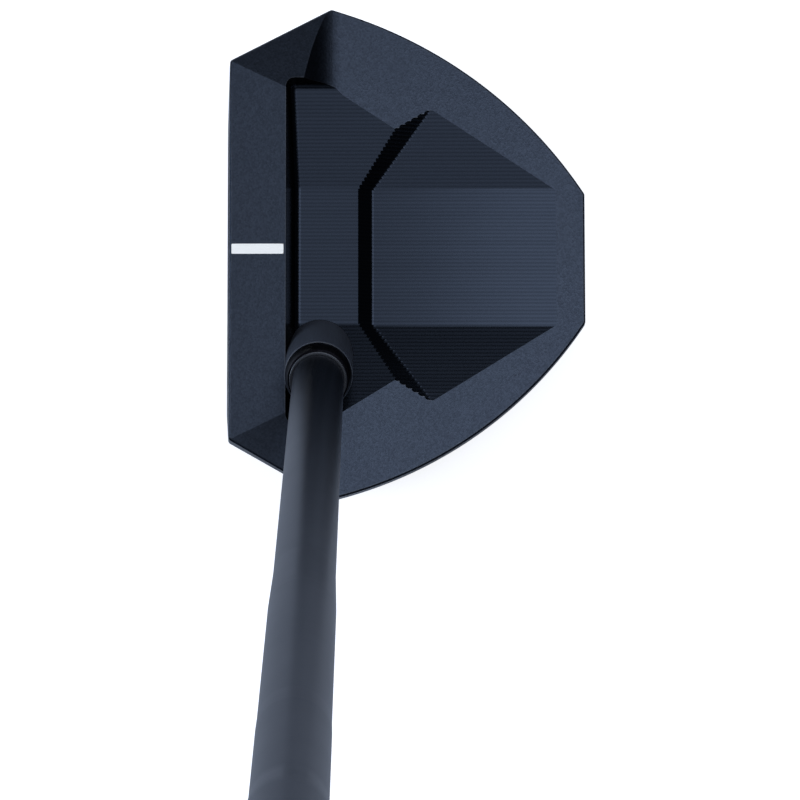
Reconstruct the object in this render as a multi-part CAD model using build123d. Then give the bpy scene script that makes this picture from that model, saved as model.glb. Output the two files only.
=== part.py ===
from build123d import *
import os
from math import cos, hypot, radians, sin, sqrt, tan

# Mallet putter, right-handed. Millimetres and degrees.
# The origin is on the ground, on the sole plate, behind the sight line. +X points from the
# face to the rear of the head, +Y from the heel to the toe, +Z up.

# ---- Head, seen from above -------------------------------------------------------------
HEAD_DEPTH = 66.8        # top edge of the face to the rear edge
FACE_SETBACK = 33.0      # top edge of the face, ahead of the origin
HEAD_LENGTH = 93.3       # heel apex to toe apex
FACE_LENGTH = 71.9       # heel to toe, along the top edge of the face
APEX_BACK = 19.0         # apex behind the top edge of the face
REAR_FLAT = 24.7         # straight stretch at the rear
RIM_RADIUS = 81.9        # curved sides between apex and rear flat
BAR_DEPTH = 10.5         # flat top of the front bar, front to back
BAR_BACK_LENGTH = 61.7   # flat top of the front bar, heel to toe at its back edge

# ---- Head, heights and slopes ----------------------------------------------------------
BAR_HEIGHT = 24.3        # flat top of the front bar above the ground
BEVEL_ANGLE = 11.6       # heel and toe bevels of the bar, down from level
RING_HEIGHT = 20.3       # sloped rim at the apex
RING_ANGLE = 7.4         # slope of the rim, down to the rear
RING_FILLET = 13.6       # hollow between the bar and the rim
RING_FILLET_BACK = 21.5  # where that hollow ends, behind the top edge of the face
LOFT = 3.0               # face leans back from upright
RIM_LAND = 3.0           # upright edge under the rim
SOLE_INSET_SIDE = 11.5   # undercut of the sides, at the apex
SOLE_INSET_FACE = 7.5    # undercut at the heel and toe ends of the face
SOLE_INSET_REAR = 9.5    # undercut of the rear
SOLE_RADIUS = 78.0       # curved sides of the sole
SOLE_EDGE = 1.2          # rounding of the sole's edges

# ---- Milled pockets --------------------------------------------------------------------
CREASE_SPREAD = 25.9     # level floor between the two creases, heel to toe
FACET_ANGLE = 11.56      # side facets, up from the creases
FRONT_FLOOR = 16.5       # height of the front pocket's level floor
REAR_FLOOR = 14.8        # height of the rear pocket's level floor
POCKET_LENGTH = 65.9     # front pocket, heel to toe at its mouth
POCKET_DRAFT = 11.0      # lean of the front pocket's walls
POCKET_FILLET = 1.5      # foot of the walls
STEP_BACK = 24.0         # top of the step behind the top edge of the face
STEP_RUN = 2.6           # top to foot of the step, along the level floor
STEP_TOP_SWEEP = 0.63    # rearward run of the step's top edge for each mm out from a crease
STEP_FOOT_SWEEP = 0.74   # the same for its foot
SIGHT_WIDTH = 1.9
SIGHT_DEPTH = 0.3
SIGHT_MARGIN = 0.4       # the line stops this short of the bar's edges

# ---- Face insert -----------------------------------------------------------------------
INSERT_LENGTH = 54.0
INSERT_HEIGHT = 15.0
INSERT_THICK = 2.6
INSERT_CORNER = 3.0
INSERT_CENTRE = 12.0     # height of its centre above the ground
PAD_THICK = 0.4

# ---- Sole plate, weights and their screws ----------------------------------------------
PLATE_START = 16.0       # plate behind the top edge of the face
PLATE_END = 7.3          # plate ahead of the sole's rear edge
PLATE_WEB = 4.6          # sole between the plate and a weight
PLATE_THICK = 3.0
PLATE_CORNER = 6.0
GASKET_THICK = 0.4
LEDGE = 6.2              # seat of the plate around the core weight
CORE_HEIGHT = 7.8        # core weight above the gasket
CORE_CORNER = 2.0
CORE_GAP = 0.05          # around the core weight
SCREW_WALL = 0.6         # between a screw and the core weight
SCREW_D = 2.5
SCREW_HEAD_D = 4.6
SCREW_HEAD_H = 1.3
SCREW_LENGTH = 7.0
SCREW_HEX = 1.5          # across the flats
SCREW_HEX_DEPTH = 0.9
PLATE_HOLE_GAP = 0.1     # around the screw's shank in the plate
WEIGHT_D = 13.0
WEIGHT_H = 7.5
WEIGHT_BACK = 23.0       # weight's centre behind the top edge of the face
WEIGHT_EDGE = 3.5        # sole between a weight and the sole's apex
WEIGHT_RECESS = 0.4      # weight's outer face above the sole
WASHER_THICK = 0.5
WEIGHT_RIM = 1.0         # washer's inner edge, in from the weight's edge
WEIGHT_KEY_PCD = 7.0     # pin-wrench holes
WEIGHT_KEY_D = 1.6
WEIGHT_KEY_DEPTH = 1.6

# ---- Shaft line, hosel collar and ferrule ----------------------------------------------
LIE = 70.0               # shaft to the ground
SHAFT_RAKE = 0.25        # lean of the shaft to the rear
SHAFT_BACK = 16.7        # where the shaft line meets the ground, behind the top edge of the face
SHAFT_Y_GROUND = -12.9   # where the shaft line meets the ground
SOCKET_START = 12.0      # along the shaft line from the ground
COLLAR_END = 37.2
COLLAR_D = 12.6
COLLAR_GAP = 0.05        # bond line around the collar, radial
COLLAR_FLOOR = 2.0       # closed bottom of the collar
FERRULE_LENGTH = 4.2
FERRULE_LIP = 0.9        # ferrule's top edge, out from the shaft
RING_LENGTH = 0.4
RING_WIDTH = 0.6         # trim ring, out from the shaft
TIP_PLUG_LENGTH = 6.0
PLUG_GAP = 0.02

# ---- Shaft: diameters from the tip up, with the place where each taper starts and ends ---
PUTTER_LENGTH = 864.0    # along the shaft line, ground to butt
TIP_D = 9.4
FIRST_RISE = 0.55        # in diameter
FIRST_TAPER = (193.0, 214.5)
FAINT_RISE = 0.15        # in diameter
FAINT_TAPER = (274.0, 280.0)
STEP_START = 312.0       # first of the regular steps
STEP_COUNT = 8
STEP_TAPER = 6.0         # length of each step's taper
STEP_MARGIN = 20.0       # last step below the grip
BUTT_D = 15.0
SHAFT_WALL = 0.9

# ---- Grip ------------------------------------------------------------------------------
GRIP_LENGTH = 267.0
GRIP_MOUTH_R = 11.0
GRIP_BELLY_R = 14.2
GRIP_BUTT_R = 13.6
GRIP_BELLY_BACK = 75.0   # thickest section below the butt
GRIP_MOUTH_CUT = 0.9     # depth of the flat for the thumbs, at the mouth
GRIP_BELLY_CUT = 2.6     # the same at the thickest section
GRIP_BUTT_CUT = 2.4      # the same at the butt
SKIN_THICK = 1.3
TAPE_THICK = 0.15
CAP_THICK = 3.0
CAP_SPIGOT = 14.0        # length of the cap's spigot inside the shaft
CAP_BORE_D = 9.0
BUTT_WEIGHT_LENGTH = 22.0
BUTT_WEIGHT_HEAD_D = 14.0
BUTT_WEIGHT_HEAD_H = 1.4
BUTT_WEIGHT_HEX = 5.0
BUTT_WEIGHT_HEX_DEPTH = 3.0
BUTT_GAP = 0.05          # around the threads of the butt weight

# ---- Places worked out from the sizes above --------------------------------------------
FACE_X = -FACE_SETBACK
REAR_X = HEAD_DEPTH - FACE_SETBACK
APEX_X = FACE_X + APEX_BACK
BAR_BACK_X = FACE_X + BAR_DEPTH
RING_SLOPE = tan(radians(RING_ANGLE))
FACE_SLOPE = tan(radians(LOFT))
FACET_SLOPE = tan(radians(FACET_ANGLE))
CREASE_Y = CREASE_SPREAD / 2
SECOND_D = TIP_D + FIRST_RISE
THIRD_D = SECOND_D + FAINT_RISE
PLATE_SEAT = PLATE_THICK + GASKET_THICK
SCREW_INSET = LEDGE - SCREW_D / 2 - SCREW_WALL
WEIGHT_X = FACE_X + WEIGHT_BACK
WEIGHT_Y = HEAD_LENGTH / 2 - SOLE_INSET_SIDE - WEIGHT_EDGE - WEIGHT_D / 2
PLATE_WIDTH = 2 * (WEIGHT_Y - WEIGHT_D / 2 - PLATE_WEB)
PLATE_FRONT_X = FACE_X + PLATE_START
PLATE_LENGTH = REAR_X - SOLE_INSET_REAR - PLATE_END - PLATE_FRONT_X
PLATE_X = PLATE_FRONT_X + PLATE_LENGTH / 2
GRIP_END = PUTTER_LENGTH - CAP_THICK
GRIP_START = PUTTER_LENGTH - GRIP_LENGTH
CLEAR = 60.0             # reach of cutting tools past the head
BASE = (Align.CENTER, Align.CENTER, Align.MIN)


def ring_z(x):
    """Height of the sloped rim at x."""
    return RING_HEIGHT - (x - APEX_X) * RING_SLOPE


def face_x(z):
    """Place of the lofted face at height z."""
    return FACE_X - (BAR_HEIGHT - z) * FACE_SLOPE


def facet_z(floor, y):
    """Height of a pocket's floor or facet at y."""
    return floor + max(0.0, abs(y) - CREASE_Y) * FACET_SLOPE


def shaft_plane(s):
    """Plane square to the shaft line, s above the ground; its y axis faces the toe."""
    lean = radians(90 - LIE)
    upward = Vector(tan(radians(SHAFT_RAKE)) * cos(lean), -sin(lean), cos(lean)).normalized()
    foot = Vector(FACE_X + SHAFT_BACK, SHAFT_Y_GROUND, 0)
    return Plane(origin=foot + upward * s, x_dir=(1, 0, 0), z_dir=upward)


def shaft_cylinder(diameter, start, end):
    """Solid cylinder on the shaft line."""
    disc = shaft_plane(start) * Circle(diameter / 2)
    return extrude(disc, end - start)


def shaft_turned(profile):
    """Solid turned about the shaft line from (radius, place) points."""
    section = make_face(Polyline(*profile, close=True))
    solid = revolve(Plane.XZ * section, Axis.Z)
    return shaft_plane(0) * solid


# ---- Head body -------------------------------------------------------------------------
def head_section(height, half_face, half_apex, half_rear, rear_x, radius):
    """Closed outline of the head on the surface z = height(x)."""
    apex_x = APEX_X
    chord = hypot(rear_x - apex_x, half_apex - half_rear)
    bulge = radius - sqrt(radius ** 2 - (chord / 2) ** 2)
    out_x = (half_apex - half_rear) / chord
    out_y = (rear_x - apex_x) / chord
    mid_x = (apex_x + rear_x) / 2 + bulge * out_x
    mid_y = (half_apex + half_rear) / 2 + bulge * out_y
    rise = height(FACE_X + 1) - height(FACE_X)
    front_x = (FACE_X - (BAR_HEIGHT - height(0)) * FACE_SLOPE) / (1 - rise * FACE_SLOPE)

    def place(x, y):
        return (x, y, height(x))

    edges = [Line(place(front_x, -half_face), place(front_x, half_face))]
    edges += [Line(place(front_x, half_face), place(apex_x, half_apex))]
    edges += [ThreePointArc(place(apex_x, half_apex), place(mid_x, mid_y), place(rear_x, half_rear))]
    edges += [Line(place(rear_x, half_rear), place(rear_x, -half_rear))]
    edges += [ThreePointArc(place(rear_x, -half_rear), place(mid_x, -mid_y), place(apex_x, -half_apex))]
    edges += [Line(place(apex_x, -half_apex), place(front_x, -half_face))]
    return make_face(edges)


def head_blank():
    """Head with upright edges above its rim and undercut sides below."""
    plan = (FACE_LENGTH / 2, HEAD_LENGTH / 2, REAR_FLAT / 2, REAR_X, RIM_RADIUS)
    top = head_section(lambda x: BAR_HEIGHT + 2, *plan)
    rim = head_section(lambda x: ring_z(x) - RIM_LAND, *plan)
    sole = head_section(
        lambda x: 0.0,
        FACE_LENGTH / 2 - SOLE_INSET_FACE,
        HEAD_LENGTH / 2 - SOLE_INSET_SIDE,
        REAR_FLAT / 2 - SOLE_INSET_FACE / 2,
        REAR_X - SOLE_INSET_REAR,
        SOLE_RADIUS,
    )
    blank = loft([sole, rim, top], ruled=True)
    sole_edges = blank.edges().filter_by(lambda e: e.bounding_box().max.Z < 0.01)
    return fillet(sole_edges, SOLE_EDGE)


def bevel_tool(side):
    """Everything above the bar's heel (side -1) or toe (side 1) bevel."""
    outer = Vector(FACE_X, side * FACE_LENGTH / 2, BAR_HEIGHT)
    inner = Vector(BAR_BACK_X, side * BAR_BACK_LENGTH / 2, BAR_HEIGHT)
    along = (inner - outer).normalized()
    outward = Vector(-along.Y, along.X, 0) * side
    tilt = radians(BEVEL_ANGLE)
    normal = outward * sin(tilt) + Vector(0, 0, 1) * cos(tilt)
    top = Plane(origin=outer, x_dir=along, z_dir=normal)
    return top * Box(4 * CLEAR, 4 * CLEAR, CLEAR, align=(Align.CENTER, Align.CENTER, Align.MIN))


def ring_tool():
    """Everything above the sloped rim and the hollow behind the bar."""
    tangent_x = FACE_X + RING_FILLET_BACK
    tilt = radians(RING_ANGLE)
    centre = Vector(tangent_x + RING_FILLET * sin(tilt), ring_z(tangent_x) + RING_FILLET * cos(tilt))

    def on_hollow(sweep):
        angle = tilt + radians(sweep)
        return (centre.X - RING_FILLET * sin(angle), centre.Y - RING_FILLET * cos(angle))

    high = BAR_HEIGHT + CLEAR
    far = REAR_X + CLEAR
    start = (tangent_x, ring_z(tangent_x))
    outline = ThreePointArc(start, on_hollow(30), on_hollow(60))
    rest = Polyline(on_hollow(60), (on_hollow(60)[0], high), (far, high), (far, ring_z(far)), start)
    section = make_face(outline.edges() + rest.edges())
    return extrude(Plane.XZ * section, 2 * CLEAR, both=True)


def front_pocket_tool():
    """Front pocket: leaning walls, a level floor and two facets."""
    half = POCKET_LENGTH / 2
    high = BAR_HEIGHT + 4
    floor = Polyline(
        (-half, high),
        (-half, facet_z(FRONT_FLOOR, half)),
        (-CREASE_Y, FRONT_FLOOR),
        (CREASE_Y, FRONT_FLOOR),
        (half, facet_z(FRONT_FLOOR, half)),
        (half, high),
        close=True,
    )
    far = REAR_X + CLEAR
    trough = extrude(Plane.YZ.offset(BAR_BACK_X - 2) * make_face(floor), far - BAR_BACK_X + 2)
    mouth = Rectangle(far - BAR_BACK_X, POCKET_LENGTH, align=(Align.MIN, Align.CENTER))
    walls = extrude(Pos(BAR_BACK_X, 0, BAR_HEIGHT) * mouth, -BAR_HEIGHT, taper=POCKET_DRAFT)
    walls += extrude(Pos(BAR_BACK_X, 0, BAR_HEIGHT) * mouth, 4)
    tool = trough & walls
    foot = tool.edges().filter_by(lambda e: is_pocket_foot(e.center()))
    return fillet(foot, POCKET_FILLET)


def is_pocket_foot(point):
    """True for the foot of the front pocket's front wall and of its heel and toe walls."""
    lean = (BAR_HEIGHT - FRONT_FLOOR) * tan(radians(POCKET_DRAFT))
    low = point.Z < BAR_HEIGHT - 1
    near_bar = point.X < BAR_BACK_X + lean + 1
    at_end = abs(point.Y) > POCKET_LENGTH / 2 - lean - 1 and point.X < REAR_X + CLEAR - 5
    return low and (near_bar or at_end)


def rear_pocket_tool():
    """Rear pocket: a sloped step in front, a level floor and two facets."""
    outer = HEAD_LENGTH / 2
    rise = FRONT_FLOOR - REAR_FLOOR
    reach = 4
    sections = []
    for y in (-outer, -CREASE_Y, CREASE_Y, outer):
        out = abs(y) - CREASE_Y
        foot_x = FACE_X + STEP_BACK + STEP_RUN + STEP_FOOT_SWEEP * out
        top_x = FACE_X + STEP_BACK + STEP_TOP_SWEEP * out
        foot_z = facet_z(REAR_FLOOR, y)
        far = REAR_X + CLEAR
        high_x = foot_x - reach * (foot_x - top_x)
        high_z = foot_z + reach * rise
        corners = [(high_x, y, high_z), (foot_x, y, foot_z), (far, y, foot_z), (far, y, high_z)]
        sections.append(make_face(Polyline(*corners, close=True)))
    return loft(sections, ruled=True)


def rounded_block(length, width, thick, corner):
    """Plate with rounded corners that rises from z = 0."""
    return extrude(RectangleRounded(length, width, corner), thick)


def face_plane(depth=0.0):
    """Plane on the face at the insert's centre, facing out, moved in by depth."""
    out = Vector(-cos(radians(LOFT)), 0, sin(radians(LOFT)))
    origin = Vector(face_x(INSERT_CENTRE), 0, INSERT_CENTRE) - out * depth
    return Plane(origin=origin, x_dir=(0, -1, 0), z_dir=out)


def insert_block(thick, depth):
    """Block the size of the insert, its outer face at depth."""
    blank = rounded_block(INSERT_LENGTH, INSERT_HEIGHT, thick, INSERT_CORNER)
    return face_plane(depth + thick) * blank


def screw_places():
    """Centres of the sole plate's four screws."""
    x = PLATE_LENGTH / 2 - SCREW_INSET
    y = PLATE_WIDTH / 2 - SCREW_INSET
    return [(PLATE_X + sx * x, sy * y) for sx in (-1, 1) for sy in (-1, 1)]


def weight_places():
    """Centres of the heel and the toe weight."""
    return {"heel": (WEIGHT_X, -WEIGHT_Y), "toe": (WEIGHT_X, WEIGHT_Y)}


def plate_block(thick, start):
    """Block with the sole plate's outline that rises from z = start."""
    return Pos(PLATE_X, 0, start) * rounded_block(PLATE_LENGTH, PLATE_WIDTH, thick, PLATE_CORNER)


def core_block(start, height, gap):
    """Block with the core weight's outline, wider all round by gap."""
    length = PLATE_LENGTH - 2 * LEDGE + 2 * gap
    width = PLATE_WIDTH - 2 * LEDGE + 2 * gap
    return Pos(PLATE_X, 0, start) * rounded_block(length, width, height, CORE_CORNER)


def upright(diameter, height):
    """Cylinder that rises from z = 0."""
    return Cylinder(diameter / 2, height, align=BASE)


def sight_block():
    """Paint that fills the sight line's groove."""
    length = BAR_DEPTH - 2 * SIGHT_MARGIN
    block = Box(length, SIGHT_WIDTH, SIGHT_DEPTH, align=(Align.MIN, Align.CENTER, Align.MAX))
    return Pos(FACE_X + SIGHT_MARGIN, 0, BAR_HEIGHT) * block


def weight_bore(place):
    """Bore for a sole weight and its washer."""
    return Pos(*place, 0) * upright(WEIGHT_D, WEIGHT_RECESS + WEIGHT_H + WASHER_THICK)


def make_head_body():
    body = head_blank()
    body -= Pos(0, 0, BAR_HEIGHT) * Box(4 * CLEAR, 4 * CLEAR, CLEAR, align=BASE)
    body -= bevel_tool(1)
    body -= bevel_tool(-1)
    body -= ring_tool()
    body -= front_pocket_tool()
    body -= rear_pocket_tool()
    body -= shaft_cylinder(COLLAR_D + 2 * COLLAR_GAP, SOCKET_START, COLLAR_END + CLEAR)
    body -= insert_block(INSERT_THICK + PAD_THICK, 0)
    body -= sight_block()
    body -= plate_block(PLATE_SEAT, 0)
    body -= core_block(PLATE_SEAT, CORE_HEIGHT, CORE_GAP)
    for place in weight_places().values():
        body -= weight_bore(place)
    for x, y in screw_places():
        body -= Pos(x, y, 0) * upright(SCREW_D, SCREW_LENGTH)
    return body


# ---- Small pieces of the head ----------------------------------------------------------
def screw_head():
    """Countersunk head, its flat side on the ground plane."""
    return Cone(SCREW_HEAD_D / 2, SCREW_D / 2, SCREW_HEAD_H, align=BASE)


def make_sole_plate():
    plate = plate_block(PLATE_THICK, 0)
    for x, y in screw_places():
        plate -= Pos(x, y, 0) * (upright(SCREW_D + 2 * PLATE_HOLE_GAP, PLATE_THICK) + screw_head())
    return plate


def make_sole_gasket():
    gasket = plate_block(GASKET_THICK, PLATE_THICK)
    for x, y in screw_places():
        gasket -= Pos(x, y, 0) * upright(SCREW_D + 2 * PLATE_HOLE_GAP, PLATE_SEAT)
    return gasket


def make_sole_screws():
    screws = []
    for x, y in screw_places():
        screw = upright(SCREW_D, SCREW_LENGTH) + screw_head()
        screw -= extrude(RegularPolygon(SCREW_HEX / 2, 6, major_radius=False), SCREW_HEX_DEPTH)
        screws.append(Pos(x, y, 0) * screw)
    return Compound(children=screws)


def make_weight(place):
    weight = upright(WEIGHT_D, WEIGHT_H)
    for side in (-1, 1):
        weight -= Pos(side * WEIGHT_KEY_PCD / 2, 0, 0) * upright(WEIGHT_KEY_D, WEIGHT_KEY_DEPTH)
    return Pos(*place, WEIGHT_RECESS) * weight


def make_washer(place):
    ring = Circle(WEIGHT_D / 2) - Circle(WEIGHT_D / 2 - WEIGHT_RIM)
    return Pos(*place, WEIGHT_RECESS + WEIGHT_H) * extrude(ring, WASHER_THICK)


# ---- Hosel, ferrule and shaft ----------------------------------------------------------
def make_hosel_collar():
    collar = shaft_cylinder(COLLAR_D, SOCKET_START, COLLAR_END)
    return collar - shaft_cylinder(TIP_D, SOCKET_START + COLLAR_FLOOR, COLLAR_END + 1)


def make_ferrule():
    top = COLLAR_END + FERRULE_LENGTH
    bore = TIP_D / 2
    lip = bore + FERRULE_LIP
    return shaft_turned([(bore, COLLAR_END), (COLLAR_D / 2, COLLAR_END), (lip, top), (bore, top)])


def make_trim_ring():
    start = COLLAR_END + FERRULE_LENGTH
    end = start + RING_LENGTH
    bore = TIP_D / 2
    rim = bore + RING_WIDTH
    return shaft_turned([(bore, start), (rim, start), (rim, end), (bore, end)])


def shaft_stations():
    """(diameter, place) pairs of the shaft's outside, from the tip to the butt."""
    stations = [(TIP_D, SOCKET_START + COLLAR_FLOOR), (TIP_D, FIRST_TAPER[0]), (SECOND_D, FIRST_TAPER[1])]
    stations += [(SECOND_D, FAINT_TAPER[0]), (THIRD_D, FAINT_TAPER[1])]
    rise = (BUTT_D - THIRD_D) / STEP_COUNT
    pitch = (GRIP_START - STEP_MARGIN - STEP_START) / STEP_COUNT
    for step in range(STEP_COUNT):
        place = STEP_START + step * pitch
        stations.append((THIRD_D + step * rise, place))
        stations.append((THIRD_D + (step + 1) * rise, place + STEP_TAPER))
    stations.append((BUTT_D, GRIP_END))
    return stations


def make_shaft():
    outside = [(d / 2, s) for d, s in shaft_stations()]
    inside = [(r - SHAFT_WALL, s) for r, s in reversed(outside)]
    return shaft_turned(outside + inside)


def make_tip_plug():
    start = SOCKET_START + COLLAR_FLOOR
    return shaft_cylinder(TIP_D - 2 * SHAFT_WALL - 2 * PLUG_GAP, start, start + TIP_PLUG_LENGTH)


# ---- Grip ------------------------------------------------------------------------------
def grip_section(radius, flat_cut, inset):
    """Round section with a flat for the thumbs on its upper side, smaller by inset all round."""
    flat = radius - flat_cut - inset
    cut = Pos(0, flat) * Rectangle(4 * radius, 2 * radius, align=(Align.CENTER, Align.MIN))
    return Circle(radius - inset) - cut


def grip_solid(inset):
    """Solid through the grip's sections, smaller by inset all round."""
    mouth = shaft_plane(GRIP_START) * grip_section(GRIP_MOUTH_R, GRIP_MOUTH_CUT, inset)
    belly_plane = shaft_plane(PUTTER_LENGTH - GRIP_BELLY_BACK)
    belly = belly_plane * grip_section(GRIP_BELLY_R, GRIP_BELLY_CUT, inset)
    butt = shaft_plane(GRIP_END) * grip_section(GRIP_BUTT_R, GRIP_BUTT_CUT, inset)
    return loft([mouth, belly, butt])


def make_grip_tape():
    tube = Circle(BUTT_D / 2 + TAPE_THICK) - Circle(BUTT_D / 2)
    return extrude(shaft_plane(GRIP_START) * tube, GRIP_END - GRIP_START)


def make_grip_core():
    return grip_solid(SKIN_THICK) - shaft_cylinder(BUTT_D + 2 * TAPE_THICK, GRIP_START - 1, GRIP_END + 1)


def make_grip_skin():
    return grip_solid(0) - grip_solid(SKIN_THICK)


def make_grip_cap():
    cap = extrude(shaft_plane(GRIP_END) * grip_section(GRIP_BUTT_R, GRIP_BUTT_CUT, 0), CAP_THICK)
    spigot_d = BUTT_D - 2 * SHAFT_WALL - 2 * PLUG_GAP
    cap += shaft_cylinder(spigot_d, GRIP_END - CAP_SPIGOT, GRIP_END)
    cap -= shaft_cylinder(CAP_BORE_D, GRIP_END - CAP_SPIGOT - 1, PUTTER_LENGTH + 1)
    cap -= shaft_cylinder(BUTT_WEIGHT_HEAD_D, PUTTER_LENGTH - BUTT_WEIGHT_HEAD_H, PUTTER_LENGTH + 1)
    return cap


def make_butt_weight():
    head_start = PUTTER_LENGTH - BUTT_WEIGHT_HEAD_H
    weight = shaft_cylinder(CAP_BORE_D - 2 * BUTT_GAP, head_start - BUTT_WEIGHT_LENGTH, head_start)
    weight += shaft_cylinder(BUTT_WEIGHT_HEAD_D - 2 * BUTT_GAP, head_start, PUTTER_LENGTH)
    hexagon = RegularPolygon(BUTT_WEIGHT_HEX / 2, 6, major_radius=False)
    key = extrude(shaft_plane(PUTTER_LENGTH - BUTT_WEIGHT_HEX_DEPTH) * hexagon, BUTT_WEIGHT_HEX_DEPTH + 1)
    return weight - key


def all_nodes():
    """Every node's name and solid."""
    places = weight_places()
    return {
        "head_body": make_head_body(),
        "face_insert": insert_block(INSERT_THICK, 0),
        "insert_pad": insert_block(PAD_THICK, INSERT_THICK),
        "sight_line": sight_block(),
        "sole_plate": make_sole_plate(),
        "sole_gasket": make_sole_gasket(),
        "sole_screws": make_sole_screws(),
        "core_weight": core_block(PLATE_SEAT, CORE_HEIGHT, 0),
        "toe_weight": make_weight(places["toe"]),
        "toe_weight_washer": make_washer(places["toe"]),
        "heel_weight": make_weight(places["heel"]),
        "heel_weight_washer": make_washer(places["heel"]),
        "hosel_collar": make_hosel_collar(),
        "ferrule": make_ferrule(),
        "trim_ring": make_trim_ring(),
        "shaft": make_shaft(),
        "shaft_tip_plug": make_tip_plug(),
        "grip_tape": make_grip_tape(),
        "grip_core": make_grip_core(),
        "grip_skin": make_grip_skin(),
        "grip_cap": make_grip_cap(),
        "butt_weight": make_butt_weight(),
    }


def main():
    os.makedirs("parts", exist_ok=True)
    for name, solid in all_nodes().items():
        export_step(solid, f"parts/{name}.step")


main()
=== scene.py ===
"""Looks of a milled mallet putter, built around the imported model.

Meshes are drawn in millimetres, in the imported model's frame, and scaled to metres once,
when a piece is finished. +X points from the face to the rear of the head, +Y from the heel
to the toe and +Z up; the head stands on z = 0.
"""
import logging
import math
from dataclasses import dataclass
from enum import Enum

import bmesh
import bpy
from mathutils import Matrix, Vector


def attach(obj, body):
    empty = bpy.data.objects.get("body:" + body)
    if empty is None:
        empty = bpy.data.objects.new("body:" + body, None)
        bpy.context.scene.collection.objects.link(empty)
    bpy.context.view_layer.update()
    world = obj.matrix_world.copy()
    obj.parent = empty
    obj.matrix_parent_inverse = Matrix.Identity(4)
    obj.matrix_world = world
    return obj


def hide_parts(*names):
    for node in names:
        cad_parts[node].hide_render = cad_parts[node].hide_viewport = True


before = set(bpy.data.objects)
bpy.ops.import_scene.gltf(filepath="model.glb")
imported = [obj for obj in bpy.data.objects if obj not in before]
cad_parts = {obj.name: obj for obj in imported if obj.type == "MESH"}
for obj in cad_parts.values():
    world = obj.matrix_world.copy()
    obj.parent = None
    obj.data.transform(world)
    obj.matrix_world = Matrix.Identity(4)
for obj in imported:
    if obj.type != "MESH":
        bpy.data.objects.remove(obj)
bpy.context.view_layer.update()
MM = 0.001
BODY = "root"
ORIGIN = (0, 0, 0)
QUARTERS = ((-1, -1), (1, -1), (1, 1), (-1, 1))
FINE_TURN = 128
BARE_METAL = (0.3, 0.3, 0.31, 1.0)
LOG = logging.getLogger("putter")

Point2 = tuple[float, float]
Point3 = tuple[float, float, float]
Colour = tuple[float, float, float]
Thing = bpy.types.Object
Material = bpy.types.Material
Socket = bpy.types.NodeSocket
NodeTree = bpy.types.NodeTree


# ---- Drawing helpers -------------------------------------------------------------------
def tan_deg(angle: float) -> float:
    """Tangent of an angle in degrees."""
    return math.tan(math.radians(angle))


def rounded_path(points: list[Point2], radii: list[float], steps: int,
                 closed: bool = True) -> list[Point2]:
    """Rounds the corners of a path.

    Args:
        points: The corners, in order.
        radii: One radius for each corner; 0 keeps the corner sharp.
        steps: Chords in each rounding.
        closed: Whether the last corner joins the first.

    Returns:
        The path's points; a rounded corner always gives steps + 1 of them.
    """
    path: list[Point2] = []
    count = len(points)
    for index, radius in enumerate(radii):
        here = Vector(points[index])
        if radius == 0 or (not closed and index in (0, count - 1)):
            path.append(tuple(here))
            continue
        back = Vector(points[index - 1]) - here
        fore = Vector(points[(index + 1) % count]) - here
        room = 0.49 * min(back.length, fore.length)
        back.normalize()
        fore.normalize()
        half = back.angle(fore) / 2
        reach = min(radius / math.tan(half), room)
        centre = here + (back + fore).normalized() * (reach / math.cos(half))
        start = here + back * reach - centre
        end = here + fore * reach - centre
        sweep = start.angle(end)
        for step in range(steps + 1):
            part = step / steps
            spoke = start * math.sin((1 - part) * sweep) + end * math.sin(part * sweep)
            path.append(tuple(centre + spoke / math.sin(sweep)))
    return path


def read_off(path: list[Point2], place: float) -> float:
    """Height of a left-to-right path at a place along it."""
    for (x0, z0), (x1, z1) in zip(path, path[1:]):
        if place <= x1:
            return z0 + (z1 - z0) * max(0.0, place - x0) / max(x1 - x0, 1e-9)
    return path[-1][1]


def linked(name: str, data: bpy.types.ID) -> Thing:
    """New object over its data, linked to the scene."""
    made = bpy.data.objects.new(name, data)
    bpy.context.scene.collection.objects.link(made)
    return made


def mesh_object(name: str, points: list[Point3], faces: list[tuple[int, ...]]) -> Thing:
    """Makes a linked mesh object with welded points and outward faces."""
    mesh = bpy.data.meshes.new(name)
    mesh.from_pydata(points, [], faces)
    shape = bmesh.new()
    shape.from_mesh(mesh)
    bmesh.ops.remove_doubles(shape, verts=shape.verts, dist=1e-5)
    bmesh.ops.dissolve_degenerate(shape, edges=shape.edges, dist=1e-6)
    bmesh.ops.recalc_face_normals(shape, faces=shape.faces)
    shape.to_mesh(mesh)
    shape.free()
    return linked(name, mesh)


def loft(name: str, sections: list[list[Point3]], ring: bool = False) -> Thing:
    """Closed solid through closed sections of equal point counts.

    Args:
        name: Name of the object.
        sections: The sections, in order.
        ring: Whether the last section joins the first, in place of two end caps.

    Returns:
        The solid's object.
    """
    size = len(sections[0])
    points = [point for section in sections for point in section]
    faces: list[tuple[int, ...]] = []
    for row in range(len(sections) - (0 if ring else 1)):
        here = row * size
        there = (row + 1) % len(sections) * size
        for k in range(size):
            after = (k + 1) % size
            faces.append((here + k, here + after, there + after, there + k))
    if not ring:
        faces.append(tuple(reversed(range(size))))
        faces.append(tuple(range(len(points) - size, len(points))))
    return mesh_object(name, points, faces)


def turned(name: str, profile: list[Point2], count: int = 96) -> Thing:
    """Solid turned about Z from a closed profile of (radius, height) points."""
    sections = []
    for k in range(count):
        angle = 2 * math.pi * k / count
        sections.append([(r * math.cos(angle), r * math.sin(angle), z) for r, z in profile])
    return loft(name, sections, ring=True)


def lifted(outline: list[Point2], z: float) -> list[Point3]:
    """An outline at a height."""
    return [(x, y, z) for x, y in outline]


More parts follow.
